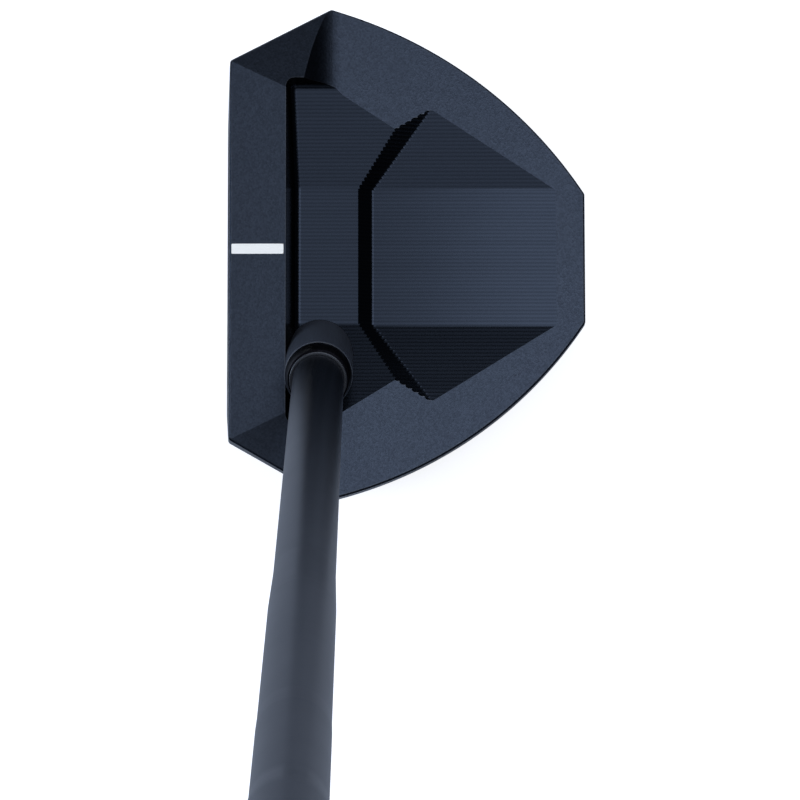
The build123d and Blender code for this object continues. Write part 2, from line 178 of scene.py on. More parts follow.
def slab(name: str, outline: list[Point2], low: float, high: float) -> Thing:
    """Upright prism over an outline."""
    return loft(name, [lifted(outline, z) for z in (low, high)])


def rounded_rectangle(length: float, width: float, corner: float, centre: Point2 = (0, 0),
                      steps: int = 10) -> list[Point2]:
    """Outline of a rectangle with round corners."""
    x, y = length / 2, width / 2
    corners = [(centre[0] + sx * x, centre[1] + sy * y) for sx, sy in QUARTERS]
    return rounded_path(corners, [corner] * 4, steps)


def circle(radius: float, centre: Point2 = (0, 0), count: int = 64) -> list[Point2]:
    """Outline of a circle."""
    turns = [2 * math.pi * k / count for k in range(count)]
    return [(centre[0] + radius * math.cos(t), centre[1] + radius * math.sin(t)) for t in turns]


def bake(target: Thing) -> Thing:
    """Turns an object's modifiers into plain mesh."""
    graph = bpy.context.evaluated_depsgraph_get()
    mesh = bpy.data.meshes.new_from_object(target.evaluated_get(graph))
    target.modifiers.clear()
    target.data = mesh
    return target


def soften(target: Thing, width: float, steps: int = 3, angle: float = 30) -> Thing:
    """Rounds an object's edges that turn more than an angle in degrees."""
    bevel = target.modifiers.new("soft_edges", "BEVEL")
    bevel.width = width
    bevel.segments = steps
    bevel.limit_method = "ANGLE"
    bevel.angle_limit = math.radians(angle)
    return bake(target)


def chamfer_rim(target: Thing, width: float, above: float) -> Thing:
    """Chamfers the edges between the upright sides and the top of an object.

    Args:
        target: The object.
        width: Width of the chamfer along each face.
        above: Height over which an edge counts as the top's.

    Returns:
        The same object.
    """
    side_rise, top_rise = 0.35, 0.6
    shape = bmesh.new()
    shape.from_mesh(target.data)
    rim = []
    for edge in shape.edges:
        rises = sorted(face.normal.z for face in edge.link_faces)
        high = min(vert.co.z for vert in edge.verts) > above
        if high and len(rises) == 2 and rises[0] < side_rise and rises[1] > top_rise:
            rim.append(edge)
    bmesh.ops.bevel(shape, geom=rim, offset=width, offset_type="OFFSET", segments=1, profile=0.5,
                    affect="EDGES", clamp_overlap=False)
    shape.to_mesh(target.data)
    shape.free()
    return target


def combine(target: Thing, other: Thing, operation: str, materials: str) -> None:
    """Runs an exact boolean on an object and removes the other solid."""
    cut = target.modifiers.new(operation.lower(), "BOOLEAN")
    cut.operation = operation
    cut.solver = "EXACT"
    cut.material_mode = materials
    cut.object = other
    bake(target)
    bpy.data.objects.remove(other)


def carve(target: Thing, cutters: list[Thing]) -> Thing:
    """Cuts solids out of an object; the cut walls keep the cutters' materials."""
    for cutter in cutters:
        combine(target, cutter, "DIFFERENCE", "TRANSFER")
    return target


def finish_piece(piece: Thing, node: str, sharp: float = 28) -> None:
    """Scales a piece to metres, smooths it and ties it to the frame.

    Args:
        piece: The piece, drawn in millimetres.
        node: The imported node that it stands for.
        sharp: Edges that turn more than this many degrees stay sharp.
    """
    piece.data.transform(Matrix.Scale(MM, 4))
    piece.data.shade_smooth()
    piece.data.set_sharp_from_angle(angle=math.radians(sharp))
    normals = piece.modifiers.new("face_weighted", "WEIGHTED_NORMAL")
    normals.keep_sharp = True
    bake(piece)
    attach(piece, BODY)
    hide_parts(node)
    triangles = sum(len(face.vertices) - 2 for face in piece.data.polygons)
    LOG.info("%s: %d triangles, stands for %s", piece.name, triangles, node)


def dress(piece: Thing, material: Material) -> Thing:
    """Gives an object one material."""
    piece.data.materials.clear()
    piece.data.materials.append(material)
    return piece


# ---- Shader node groups ----------------------------------------------------------------
class Wiring:
    """Adds nodes to a node tree and links them."""

    def __init__(self, tree: NodeTree) -> None:
        """Keeps the tree."""
        self.tree = tree

    def add(self, kind: str, inputs: dict | None = None, **settings: object) -> bpy.types.Node:
        """Adds a node.

        Args:
            kind: The node's type.
            inputs: Socket name or number to a value or another node's output socket.
            **settings: Attributes of the node.

        Returns:
            The new node.
        """
        node = self.tree.nodes.new(kind)
        for key, value in settings.items():
            setattr(node, key, value)
        for key, value in (inputs or {}).items():
            self.feed(value, node.inputs[key])
        return node

    def feed(self, value: object, socket: Socket) -> None:
        """Links an output socket to an input socket, or sets the input's value."""
        if isinstance(value, Socket):
            self.tree.links.new(value, socket)
        else:
            socket.default_value = value

    def math(self, operation: str, *values: object) -> Socket:
        """Output of a Math node over numbers or sockets."""
        inputs = dict(enumerate(values))
        return self.add("ShaderNodeMath", inputs, operation=operation).outputs[0]

    def noise(self, place: object, scale: object, **inputs: float) -> Socket:
        """Value of a Noise Texture at a place."""
        given = {"Vector": place, "Scale": scale, **inputs}
        return self.add("ShaderNodeTexNoise", given).outputs["Fac"]

    def mix(self, share: object, low: object, high: object) -> Socket:
        """Colour between two colours."""
        return self.add("ShaderNodeMix", {0: share, 6: low, 7: high}, data_type="RGBA").outputs[2]

    def show_camera(self, lit: Socket, seen: Socket, output: bpy.types.Node) -> None:
        """Ends a tree with one shader for the camera's rays and another for all others."""
        path = self.add("ShaderNodeLightPath").outputs["Is Camera Ray"]
        shown = self.add("ShaderNodeMixShader", {0: path, 1: lit, 2: seen})
        self.feed(shown.outputs[0], output.inputs["Surface"])

    def vector(self, operation: str, *values: object) -> bpy.types.Node:
        """Vector Math node over vectors or sockets."""
        return self.add("ShaderNodeVectorMath", dict(enumerate(values)), operation=operation)


def shader_group(name: str, inputs: dict[str, tuple[str, object]], outputs: tuple[str, ...]) -> tuple:
    """Starts a shader node group.

    Args:
        name: The group's name.
        inputs: Socket name to its type, Float or Vector, and its default, after Vector itself.
        outputs: Names of the Float outputs, or Vector alone.

    Returns:
        The group's tree, its wiring, the sockets of its inputs and the sockets of its outputs.
    """
    tree = bpy.data.node_groups.new(name, "ShaderNodeTree")
    for socket, (kind, default) in {"Vector": ("Vector", ORIGIN), **inputs}.items():
        made = tree.interface.new_socket(name=socket, in_out="INPUT", socket_type=f"NodeSocket{kind}")
        made.default_value = default
    for socket in outputs:
        kind = "Vector" if socket == "Vector" else "Float"
        tree.interface.new_socket(name=socket, in_out="OUTPUT", socket_type=f"NodeSocket{kind}")
    wiring = Wiring(tree)
    return tree, wiring, wiring.add("NodeGroupInput").outputs, wiring.add("NodeGroupOutput").inputs


@dataclass(frozen=True)
class SurfaceGroups:
    """The shader node groups that the finishes share."""

    grain: NodeTree
    strokes: NodeTree
    passes: NodeTree
    around: NodeTree
    film: NodeTree
    edges: NodeTree


def grain_group() -> NodeTree:
    """Even grain of a blasted, coated or moulded surface, in two sizes."""
    tree, wiring, given, result = shader_group(
        "surface_grain",
        {"Size": ("Float", 0.0003), "Fine Share": ("Float", 0.4)},
        ("Tone", "Height"),
    )
    scale = wiring.math("DIVIDE", 1.0, given["Size"])
    cells = wiring.add("ShaderNodeTexVoronoi", {"Vector": given["Vector"], "Scale": scale})
    fine_scale = wiring.math("MULTIPLY", scale, 2.3)
    fine = wiring.noise(given["Vector"], fine_scale, Detail=2.0)
    dimple = wiring.math("POWER", cells.outputs["Distance"], 1.5)
    wiring.feed(wiring.math("MULTIPLY_ADD", fine, given["Fine Share"], dimple), result["Height"])
    cell = {"Vector": cells.outputs["Position"]}
    tone = wiring.add("ShaderNodeTexWhiteNoise", cell, noise_dimensions="3D")
    wiring.feed(tone.outputs["Value"], result["Tone"])
    return tree


def strokes_group() -> NodeTree:
    """Long fine strokes along the first coordinate."""
    tree, wiring, given, result = shader_group(
        "fine_strokes",
        {"Length": ("Float", 0.02), "Width": ("Float", 0.0001)},
        ("Tone", "Height"),
    )
    along = wiring.math("DIVIDE", 1.0, given["Length"])
    across = wiring.math("DIVIDE", 1.0, given["Width"])
    stretch = wiring.add("ShaderNodeCombineXYZ", {"X": along, "Y": across, "Z": across})
    place = wiring.vector("MULTIPLY", given["Vector"], stretch.outputs[0])
    wiring.feed(wiring.noise(place.outputs[0], 1.0, Detail=3.0), result["Height"])
    wiring.feed(wiring.noise(place.outputs[0], 0.21, Detail=1.0), result["Tone"])
    return tree


def passes_group() -> NodeTree:
    """One tone for each cutter pass along X, plus painted shade across each pass (lighter at its centre,
    darker at its cusps), and the feed marks inside a pass.
    """
    tree, wiring, given, result = shader_group(
        "cutter_passes",
        {"Pitch": ("Float", 0.0007), "Feed": ("Float", 0.00022)},
        ("Tone", "Height"),
    )
    axes = wiring.add("ShaderNodeSeparateXYZ", {"Vector": given["Vector"]})
    turns = wiring.math("DIVIDE", axes.outputs["Y"], given["Pitch"])
    number = wiring.math("ROUND", turns)
    tone = wiring.add("ShaderNodeTexWhiteNoise", {"W": number}, noise_dimensions="1D")
    offset = wiring.math("SUBTRACT", turns, number)
    # Painted shading of the scallops: colour lighter at each pass's centre and darker towards its cusps,
    # as overhead light falls on them; the random tone for each pass is the milling's own.
    painted_scallop_shade = wiring.math("COSINE", wiring.math("MULTIPLY", offset, math.tau))
    spread = wiring.math("MULTIPLY_ADD", tone.outputs["Value"], 0.2, 0.4)
    wiring.feed(wiring.math("MULTIPLY_ADD", painted_scallop_shade, 0.4, spread), result["Tone"])
    bow = wiring.math("MULTIPLY", wiring.math("MULTIPLY", offset, offset), given["Pitch"])
    shifted = wiring.math("ADD", axes.outputs["X"], bow)
    phase = wiring.math("MULTIPLY", wiring.math("DIVIDE", shifted, given["Feed"]), math.tau)
    wiring.feed(wiring.math("SINE", phase), result["Height"])
    return tree


def around_group() -> NodeTree:
    """Coordinates about an axis: distance round, place along and radius, all in metres."""
    tree, wiring, given, result = shader_group(
        "about_axis",
        {
            "Foot": ("Vector", ORIGIN),
            "Across": ("Vector", (1, 0, 0)),
            "Upward": ("Vector", (0, 0, 1)),
            "Radius": ("Float", 0.005),
        },
        ("Vector",),
    )
    arm = wiring.vector("SUBTRACT", given["Vector"], given["Foot"]).outputs[0]
    side = wiring.vector("CROSS_PRODUCT", given["Upward"], given["Across"]).outputs[0]
    u = wiring.vector("DOT_PRODUCT", arm, given["Across"]).outputs["Value"]
    v = wiring.vector("DOT_PRODUCT", arm, side).outputs["Value"]
    w = wiring.vector("DOT_PRODUCT", arm, given["Upward"]).outputs["Value"]
    angle = wiring.math("MULTIPLY", wiring.math("ARCTAN2", v, u), given["Radius"])
    squares = wiring.math("ADD", wiring.math("MULTIPLY", u, u), wiring.math("MULTIPLY", v, v))
    radius = wiring.math("SQRT", squares)
    place = wiring.add("ShaderNodeCombineXYZ", {"X": angle, "Y": w, "Z": radius})
    wiring.feed(place.outputs[0], result["Vector"])
    return tree


def film_group() -> NodeTree:
    """Broad uneven film of handling and wiping."""
    tree, wiring, given, result = shader_group(
        "handling_film",
        {"Size": ("Float", 0.02)},
        ("Tone",),
    )
    scale = wiring.math("DIVIDE", 1.0, given["Size"])
    noise = wiring.noise(given["Vector"], scale, Detail=4.0, Roughness=0.6, Distortion=0.6)
    wiring.feed(noise, result["Tone"])
    return tree


def edges_group() -> NodeTree:
    """Mask of worn edges, broken up by noise."""
    tree, wiring, given, result = shader_group(
        "worn_edges",
        {"Radius": ("Float", 0.0003), "Size": ("Float", 0.002)},
        ("Mask",),
    )
    rounded = wiring.add("ShaderNodeBevel", {"Radius": given["Radius"]}, samples=4)
    true = wiring.add("ShaderNodeNewGeometry").outputs["Normal"]
    facing = wiring.vector("DOT_PRODUCT", rounded.outputs["Normal"], true).outputs["Value"]
    turn = wiring.math("SUBTRACT", 1.0, facing)
    scale = wiring.math("DIVIDE", 1.0, given["Size"])
    noise = wiring.noise(given["Vector"], scale, Detail=3.0)
    patchy = wiring.math("MULTIPLY", wiring.math("MULTIPLY", turn, 6.0), noise)
    wiring.feed(wiring.math("MINIMUM", patchy, 1.0), result["Mask"])
    return tree


# ---- Finishes --------------------------------------------------------------------------
class Texture(Enum):
    """How a surface was left by its last process."""

    BLASTED = "blasted"
    MILLED = "milled"
    BRUSHED = "brushed"
    TURNED = "turned"
    SATIN_TUBE = "satin tube"
    PAINTED = "painted"
    MOULDED = "moulded"


@dataclass(frozen=True)
class Finish:
    """One material of the putter.

    Sizes are in metres. Tone is the share by which the colour varies, depth the height of
    the relief in the shading, and uneven how far the roughness varies over the film.
    """

    name: str
    colour: Colour
    roughness: float
    metallic: float
    texture: Texture
    size: float = 0.0003
    tone: float = 0.1
    depth: float = 0.00001
    uneven: float = 0.08
    wear: float = 0.0
    coat: float = 0.0
    sheen: float = 0.0


class Workshop:
    """Builds the shared node groups once and makes each finish's material from them."""

    def __init__(self, line: "ShaftLine") -> None:
        """Builds the groups; the shaft line guides the turned and drawn finishes."""
        self.line = line
        self.groups = SurfaceGroups(
            grain=grain_group(),
            strokes=strokes_group(),
            passes=passes_group(),
            around=around_group(),
            film=film_group(),
            edges=edges_group(),
        )
        self.made: dict[tuple, Material] = {}

    def group(self, wiring: Wiring, tree: NodeTree, inputs: dict) -> bpy.types.Node:
        """Places a shared group in a material."""
        node = wiring.add("ShaderNodeGroup", node_tree=tree)
        for key, value in inputs.items():
            wiring.feed(value, node.inputs[key])
        return node

    def relief(self, wiring: Wiring, finish: Finish, place: object, axis: Point3 | None) -> tuple:
        """Tone and height sockets of a finish's texture.

        Args:
            wiring: The material's wiring.
            finish: The finish.
            place: Socket with Object coordinates.
            axis: Foot of an upright axis that a turned piece has, in metres, or None for the shaft line.

        Returns:
            The tone socket and the height socket.
        """
        groups = self.groups
        if finish.texture in (Texture.BLASTED, Texture.MOULDED, Texture.PAINTED):
            node = self.group(wiring, groups.grain, {"Vector": place, "Size": finish.size})
        elif finish.texture is Texture.MILLED:
            node = self.group(wiring, groups.passes, {"Vector": place, "Pitch": finish.size})
        elif finish.texture in (Texture.TURNED, Texture.SATIN_TUBE):
            foot, upward = (axis, (0, 0, 1)) if axis else self.line.direction()
            about = {"Vector": place, "Foot": foot, "Upward": upward, "Across": self.line.across(upward)}
            turned_place = self.group(wiring, groups.around, about).outputs["Vector"]
            strokes = {"Vector": turned_place, "Width": finish.size}
            node = self.group(wiring, groups.strokes, strokes)
        else:
            node = self.group(wiring, groups.strokes, {"Vector": place, "Width": finish.size})
        return node.outputs["Tone"], node.outputs["Height"]

    def material(self, finish: Finish, axis: Point3 | None = None) -> Material:
        """The material of a finish, made once for each axis.

        Args:
            finish: The finish.
            axis: Foot of an upright axis for a turned piece, in metres.

        Returns:
            The material.
        """
        key = (finish.name, axis)
        if key in self.made:
            return self.made[key]
        material = bpy.data.materials.new(finish.name)
        material.use_nodes = True
        wiring = Wiring(material.node_tree)
        shader = material.node_tree.nodes["Principled BSDF"]
        place = wiring.add("ShaderNodeTexCoord").outputs["Object"]
        tone, height = self.relief(wiring, finish, place, axis)
        film = self.group(wiring, self.groups.film, {"Vector": place}).outputs["Tone"]
        dark = tuple(c * (1 - finish.tone) for c in finish.colour) + (1.0,)
        light = tuple(c * (1 + finish.tone) for c in finish.colour) + (1.0,)
        colour = wiring.mix(tone, dark, light)
        rough = wiring.math("MULTIPLY_ADD", film, finish.uneven, finish.roughness - finish.uneven / 2)
        if finish.wear:
            mask = self.group(wiring, self.groups.edges, {"Vector": place}).outputs["Mask"]
            colour = wiring.mix(wiring.math("MULTIPLY", mask, finish.wear), colour, BARE_METAL)
        wiring.feed(colour, shader.inputs["Base Color"])
        wiring.feed(rough, shader.inputs["Roughness"])
        relief = {"Height": height, "Distance": finish.depth, "Strength": 1.0}
        wiring.feed(wiring.add("ShaderNodeBump", relief).outputs[0], shader.inputs["Normal"])
        constants = {
            "Metallic": finish.metallic,
            "Specular IOR Level": 0.5,
            "Coat Weight": finish.coat,
            "Coat Roughness": 0.1,
            "Sheen Weight": finish.sheen,
        }
        for socket, value in constants.items():
            shader.inputs[socket].default_value = value
        self.made[key] = material
        return material


BLASTED_BLACK = Finish(
    "blasted_black_anodised", (0.0145, 0.0188, 0.0285), 0.3, 1.0, Texture.BLASTED,
    size=0.00032, tone=0.16, depth=0.000012, uneven=0.05, wear=0.1,
)
MILLED_BLACK = Finish(
    "milled_black_anodised", (0.0113, 0.0148, 0.0228), 0.25, 1.0, Texture.MILLED,
    size=0.0007, tone=0.18, depth=0.0000006, uneven=0.05,
)
INSERT_BLACK = Finish(
    "milled_insert", (0.03, 0.034, 0.042), 0.34, 1.0, Texture.MILLED,
    size=0.0009, tone=0.08, depth=0.000001, wear=0.2,
)
SIGHT_WHITE = Finish(
    "white_enamel", (0.83, 0.85, 0.88), 0.32, 0.0, Texture.PAINTED,
    size=0.0009, tone=0.012, depth=0.000002, uneven=0.1, coat=0.4,
)
SOLE_BLACK = Finish(
    "brushed_black_sole", (0.06, 0.062, 0.07), 0.34, 1.0, Texture.BRUSHED,
    size=0.00009, tone=0.22, depth=0.000003, wear=0.35,
)
SCREW_BLACK = Finish(
    "black_oxide_screw", (0.06, 0.06, 0.065), 0.42, 1.0, Texture.BLASTED,
    size=0.0002, tone=0.12, depth=0.000004, wear=0.4,
)
TURNED_METAL = Finish(
    "turned_weight", (0.16, 0.165, 0.18), 0.3, 1.0, Texture.TURNED,
    size=0.00008, tone=0.15, depth=0.000003, wear=0.3,
)
CAST_METAL = Finish(
    "tungsten_core", (0.3, 0.3, 0.31), 0.5, 1.0, Texture.BLASTED,
    size=0.0004, tone=0.15, depth=0.00001,
)
COLLAR_BLACK = Finish(
    "satin_black_collar", (0.036, 0.044, 0.063), 0.34, 0.0, Texture.TURNED,
    size=0.00009, tone=0.08, depth=0.0000015, wear=0.12,
)
FERRULE_BLACK = Finish(
    "satin_ferrule", (0.004, 0.004, 0.006), 0.3, 1.0, Texture.PAINTED,
    size=0.0012, tone=0.2, depth=0.000001,
)
TRIM_METAL = Finish(
    "dark_trim_ring", (0.045, 0.05, 0.062), 0.4, 1.0, Texture.TURNED,
    size=0.00006, tone=0.1, depth=0.000001,
)
SHAFT_BLACK = Finish(
    "satin_black_shaft", (0.02, 0.026, 0.04), 0.34, 1.0, Texture.SATIN_TUBE,
    size=0.00025, tone=0.05, depth=0.0000008, uneven=0.06,
)
SEAL_RUBBER = Finish(
    "elastomer_seal", (0.02, 0.02, 0.021), 0.6, 0.0, Texture.MOULDED,
    size=0.0005, tone=0.2, depth=0.00001,
)
PLUG_RUBBER = Finish(
    "shaft_plug", (0.04, 0.04, 0.042), 0.65, 0.0, Texture.MOULDED,
    size=0.0006, tone=0.2, depth=0.00001,
)
TAPE_PAPER = Finish(
    "grip_tape", (0.62, 0.57, 0.42), 0.8, 0.0, Texture.MOULDED,
    size=0.0008, tone=0.12, depth=0.00002,
)
GRIP_FOAM = Finish(
    "foam_underlisting", (0.03, 0.03, 0.032), 0.9, 0.0, Texture.MOULDED,
    size=0.0007, tone=0.3, depth=0.00006,
)
GRIP_RUBBER = Finish(
    "grip_elastomer", (0.018, 0.019, 0.022), 0.62, 0.0, Texture.MOULDED,
    size=0.00035, tone=0.25, depth=0.00002, uneven=0.12, sheen=0.15,
)
GRIP_PIPS = Finish(
    "grip_pips", (0.026, 0.027, 0.031), 0.5, 0.0, Texture.MOULDED,
    size=0.0003, tone=0.2, depth=0.000008, uneven=0.15,
)
CAP_PLASTIC = Finish(
    "moulded_cap", (0.022, 0.022, 0.025), 0.45, 0.0, Texture.MOULDED,
    size=0.0004, tone=0.15, depth=0.000012, uneven=0.12,
)
CARRIED_OVER = {
    "insert_pad": SEAL_RUBBER,
    "sole_gasket": SEAL_RUBBER,
    "toe_weight_washer": SEAL_RUBBER,
    "heel_weight_washer": SEAL_RUBBER,
    "core_weight": CAST_METAL,
    "shaft_tip_plug": PLUG_RUBBER,
    "grip_tape": TAPE_PAPER,
    "grip_core": GRIP_FOAM,
}


# ---- Geometry node trees ---------------------------------------------------------------
class Tree:
    """A geometry node tree with named inputs."""

    def __init__(self, name: str, inputs: dict[str, tuple[str, object]]) -> None:
        """Starts the tree.

        Args:
            name: The tree's name.
            inputs: Socket name to its type, such as Float or Object, and its default.
        """
        self.tree = bpy.data.node_groups.new(name, "GeometryNodeTree")
        self.keys: dict[str, str] = {}
        sockets = self.tree.interface
        sockets.new_socket(name="Geometry", in_out="INPUT", socket_type="NodeSocketGeometry")
        sockets.new_socket(name="Geometry", in_out="OUTPUT", socket_type="NodeSocketGeometry")
        for label, (kind, default) in inputs.items():
            made = sockets.new_socket(name=label, in_out="INPUT", socket_type=f"NodeSocket{kind}")
            if default is not None:
                made.default_value = default
            self.keys[label] = made.identifier
        self.wiring = Wiring(self.tree)
        self.given = self.wiring.add("NodeGroupInput").outputs
        self.result = self.wiring.add("NodeGroupOutput").inputs[0]

    def end(self, geometry: Socket) -> None:
        """Ends the tree in Realize Instances and Set Material."""
        real = self.wiring.add("GeometryNodeRealizeInstances", {"Geometry": geometry}).outputs[0]
        inputs = {"Geometry": real, "Material": self.given["Material"]}
        dressed = self.wiring.add("GeometryNodeSetMaterial", inputs)
        self.wiring.feed(dressed.outputs[0], self.result)

    def grow(self, target: Thing, values: dict[str, object]) -> Thing:
        """Runs the tree on an object and keeps the result as plain mesh.

        Args:
            target: The object.
            values: Input name to value.

        Returns:
            The same object, with its new mesh.
        """
        modifier = target.modifiers.new(self.tree.name, "NODES")
        modifier.node_group = self.tree
        for label, value in values.items():
            modifier[self.keys[label]] = value
        return bake(target)


def pips_tree() -> Tree:
    """Stands a small faceted pip on each point of a guide surface, square to it."""
    tree = Tree("surface_pips", {
        "Radius": ("Float", 0.6),
        "Height": ("Float", 0.3),
        "Sides": ("Int", 6),
        "Seed": ("Int", 4),
        "Material": ("Material", None),
    })
    wiring, given = tree.wiring, tree.given
    top = wiring.math("MULTIPLY", given["Radius"], 0.55)
    pip = wiring.add("GeometryNodeMeshCone", {
        "Vertices": given["Sides"],
        "Radius Top": top,
        "Radius Bottom": given["Radius"],
        "Depth": given["Height"],
    })
    normal = wiring.add("GeometryNodeInputNormal").outputs[0]
    stand = wiring.add("FunctionNodeAlignRotationToVector", {"Vector": normal}, axis="Z").outputs[0]
    span = {2: 0.94, 3: 1.04, "Seed": given["Seed"]}
    vary = wiring.add("FunctionNodeRandomValue", span, data_type="FLOAT")
    placed = wiring.add("GeometryNodeInstanceOnPoints", {
        "Points": given["Geometry"],
        "Instance": pip.outputs["Mesh"],
        "Rotation": stand,
        "Scale": vary.outputs[1],
    })
    tree.end(placed.outputs[0])
    return tree


def grooves_tree() -> Tree:
    """Cuts evenly spaced round-bottomed grooves along Y into a plate."""
    tree = Tree("face_grooves", {
        "Count": ("Int", 12),
        "Pitch": ("Float", 1.0),
        "Radius": ("Float", 0.5),
        "Length": ("Float", 50.0),
        "First": ("Vector", (0.0, 0.0, 0.0)),
        "Turn": ("Vector", (math.pi / 2, 0.0, 0.0)),
        "Step": ("Vector", (0.0, 0.0, 1.0)),
        "Material": ("Material", None),
    })
    wiring, given = tree.wiring, tree.given
    step = wiring.vector("SCALE", given["Step"])
    wiring.feed(given["Pitch"], step.inputs["Scale"])
    row = wiring.add(
        "GeometryNodeMeshLine",
        {"Count": given["Count"], "Start Location": given["First"], "Offset": step.outputs[0]},
        mode="OFFSET",
    )
    rod = wiring.add(
        "GeometryNodeMeshCylinder", {"Vertices": 24, "Radius": given["Radius"], "Depth": given["Length"]}
    )
    rods = wiring.add(
        "GeometryNodeInstanceOnPoints",
        {"Points": row.outputs["Mesh"], "Instance": rod.outputs["Mesh"]},
    )
    turn = wiring.add("FunctionNodeEulerToRotation", {0: given["Turn"]}).outputs[0]
    wiring.feed(turn, rods.inputs["Rotation"])
    cut = wiring.add(
        "GeometryNodeMeshBoolean", {"Mesh 1": given["Geometry"], "Mesh 2": rods.outputs[0]},
        operation="DIFFERENCE", solver="EXACT",
    )
    tree.end(cut.outputs["Mesh"])
    return tree


def copies_tree() -> Tree:
    """Stands a copy of another object on each point."""
    tree = Tree("repeated_part", {"Part": ("Object", None), "Material": ("Material", None)})
    wiring, given = tree.wiring, tree.given
    part = wiring.add("GeometryNodeObjectInfo", {"Object": given["Part"]}).outputs["Geometry"]
    placed = wiring.add("GeometryNodeInstanceOnPoints", {"Points": given["Geometry"], "Instance": part})
    tree.end(placed.outputs[0])
    return tree


# ---- Shaft line ------------------------------------------------------------------------
@dataclass(frozen=True)
class ShaftLine:
    """The straight line that the collar, the shaft and the grip share, in millimetres."""

    lie: float = 70.0
    rake: float = 0.25
    foot: Point3 = (-16.3, -12.9, 0.0)

    def upward(self) -> Vector:
        """Unit vector up the shaft."""
        lean = math.radians(90 - self.lie)
        forward = tan_deg(self.rake) * math.cos(lean)
        return Vector((forward, -math.sin(lean), math.cos(lean))).normalized()

    def direction(self) -> tuple[Point3, Point3]:
        """Foot in metres, and unit vector up the shaft."""
        return tuple(c * MM for c in self.foot), tuple(self.upward())

    def across(self, upward: Point3) -> Point3:
        """Unit vector square to an upward direction, as near to +X as it can be."""
        up = Vector(upward)
        rear = Vector((1, 0, 0))
        return tuple((rear - up * rear.dot(up)).normalized())

    def place(self, piece: Thing) -> Thing:
        """Moves a mesh drawn along Z onto the shaft line."""
        up = self.upward()
        across = Vector(self.across(tuple(up)))
        turn = Matrix((across, up.cross(across), up)).transposed().to_4x4()
        piece.data.transform(Matrix.Translation(self.foot) @ turn)
        return piece

    def turned(self, name: str, profile: list[Point2], material: Material) -> Thing:
        """A piece turned about the shaft line, with its material."""
        return dress(self.place(turned(name, profile, FINE_TURN)), material)


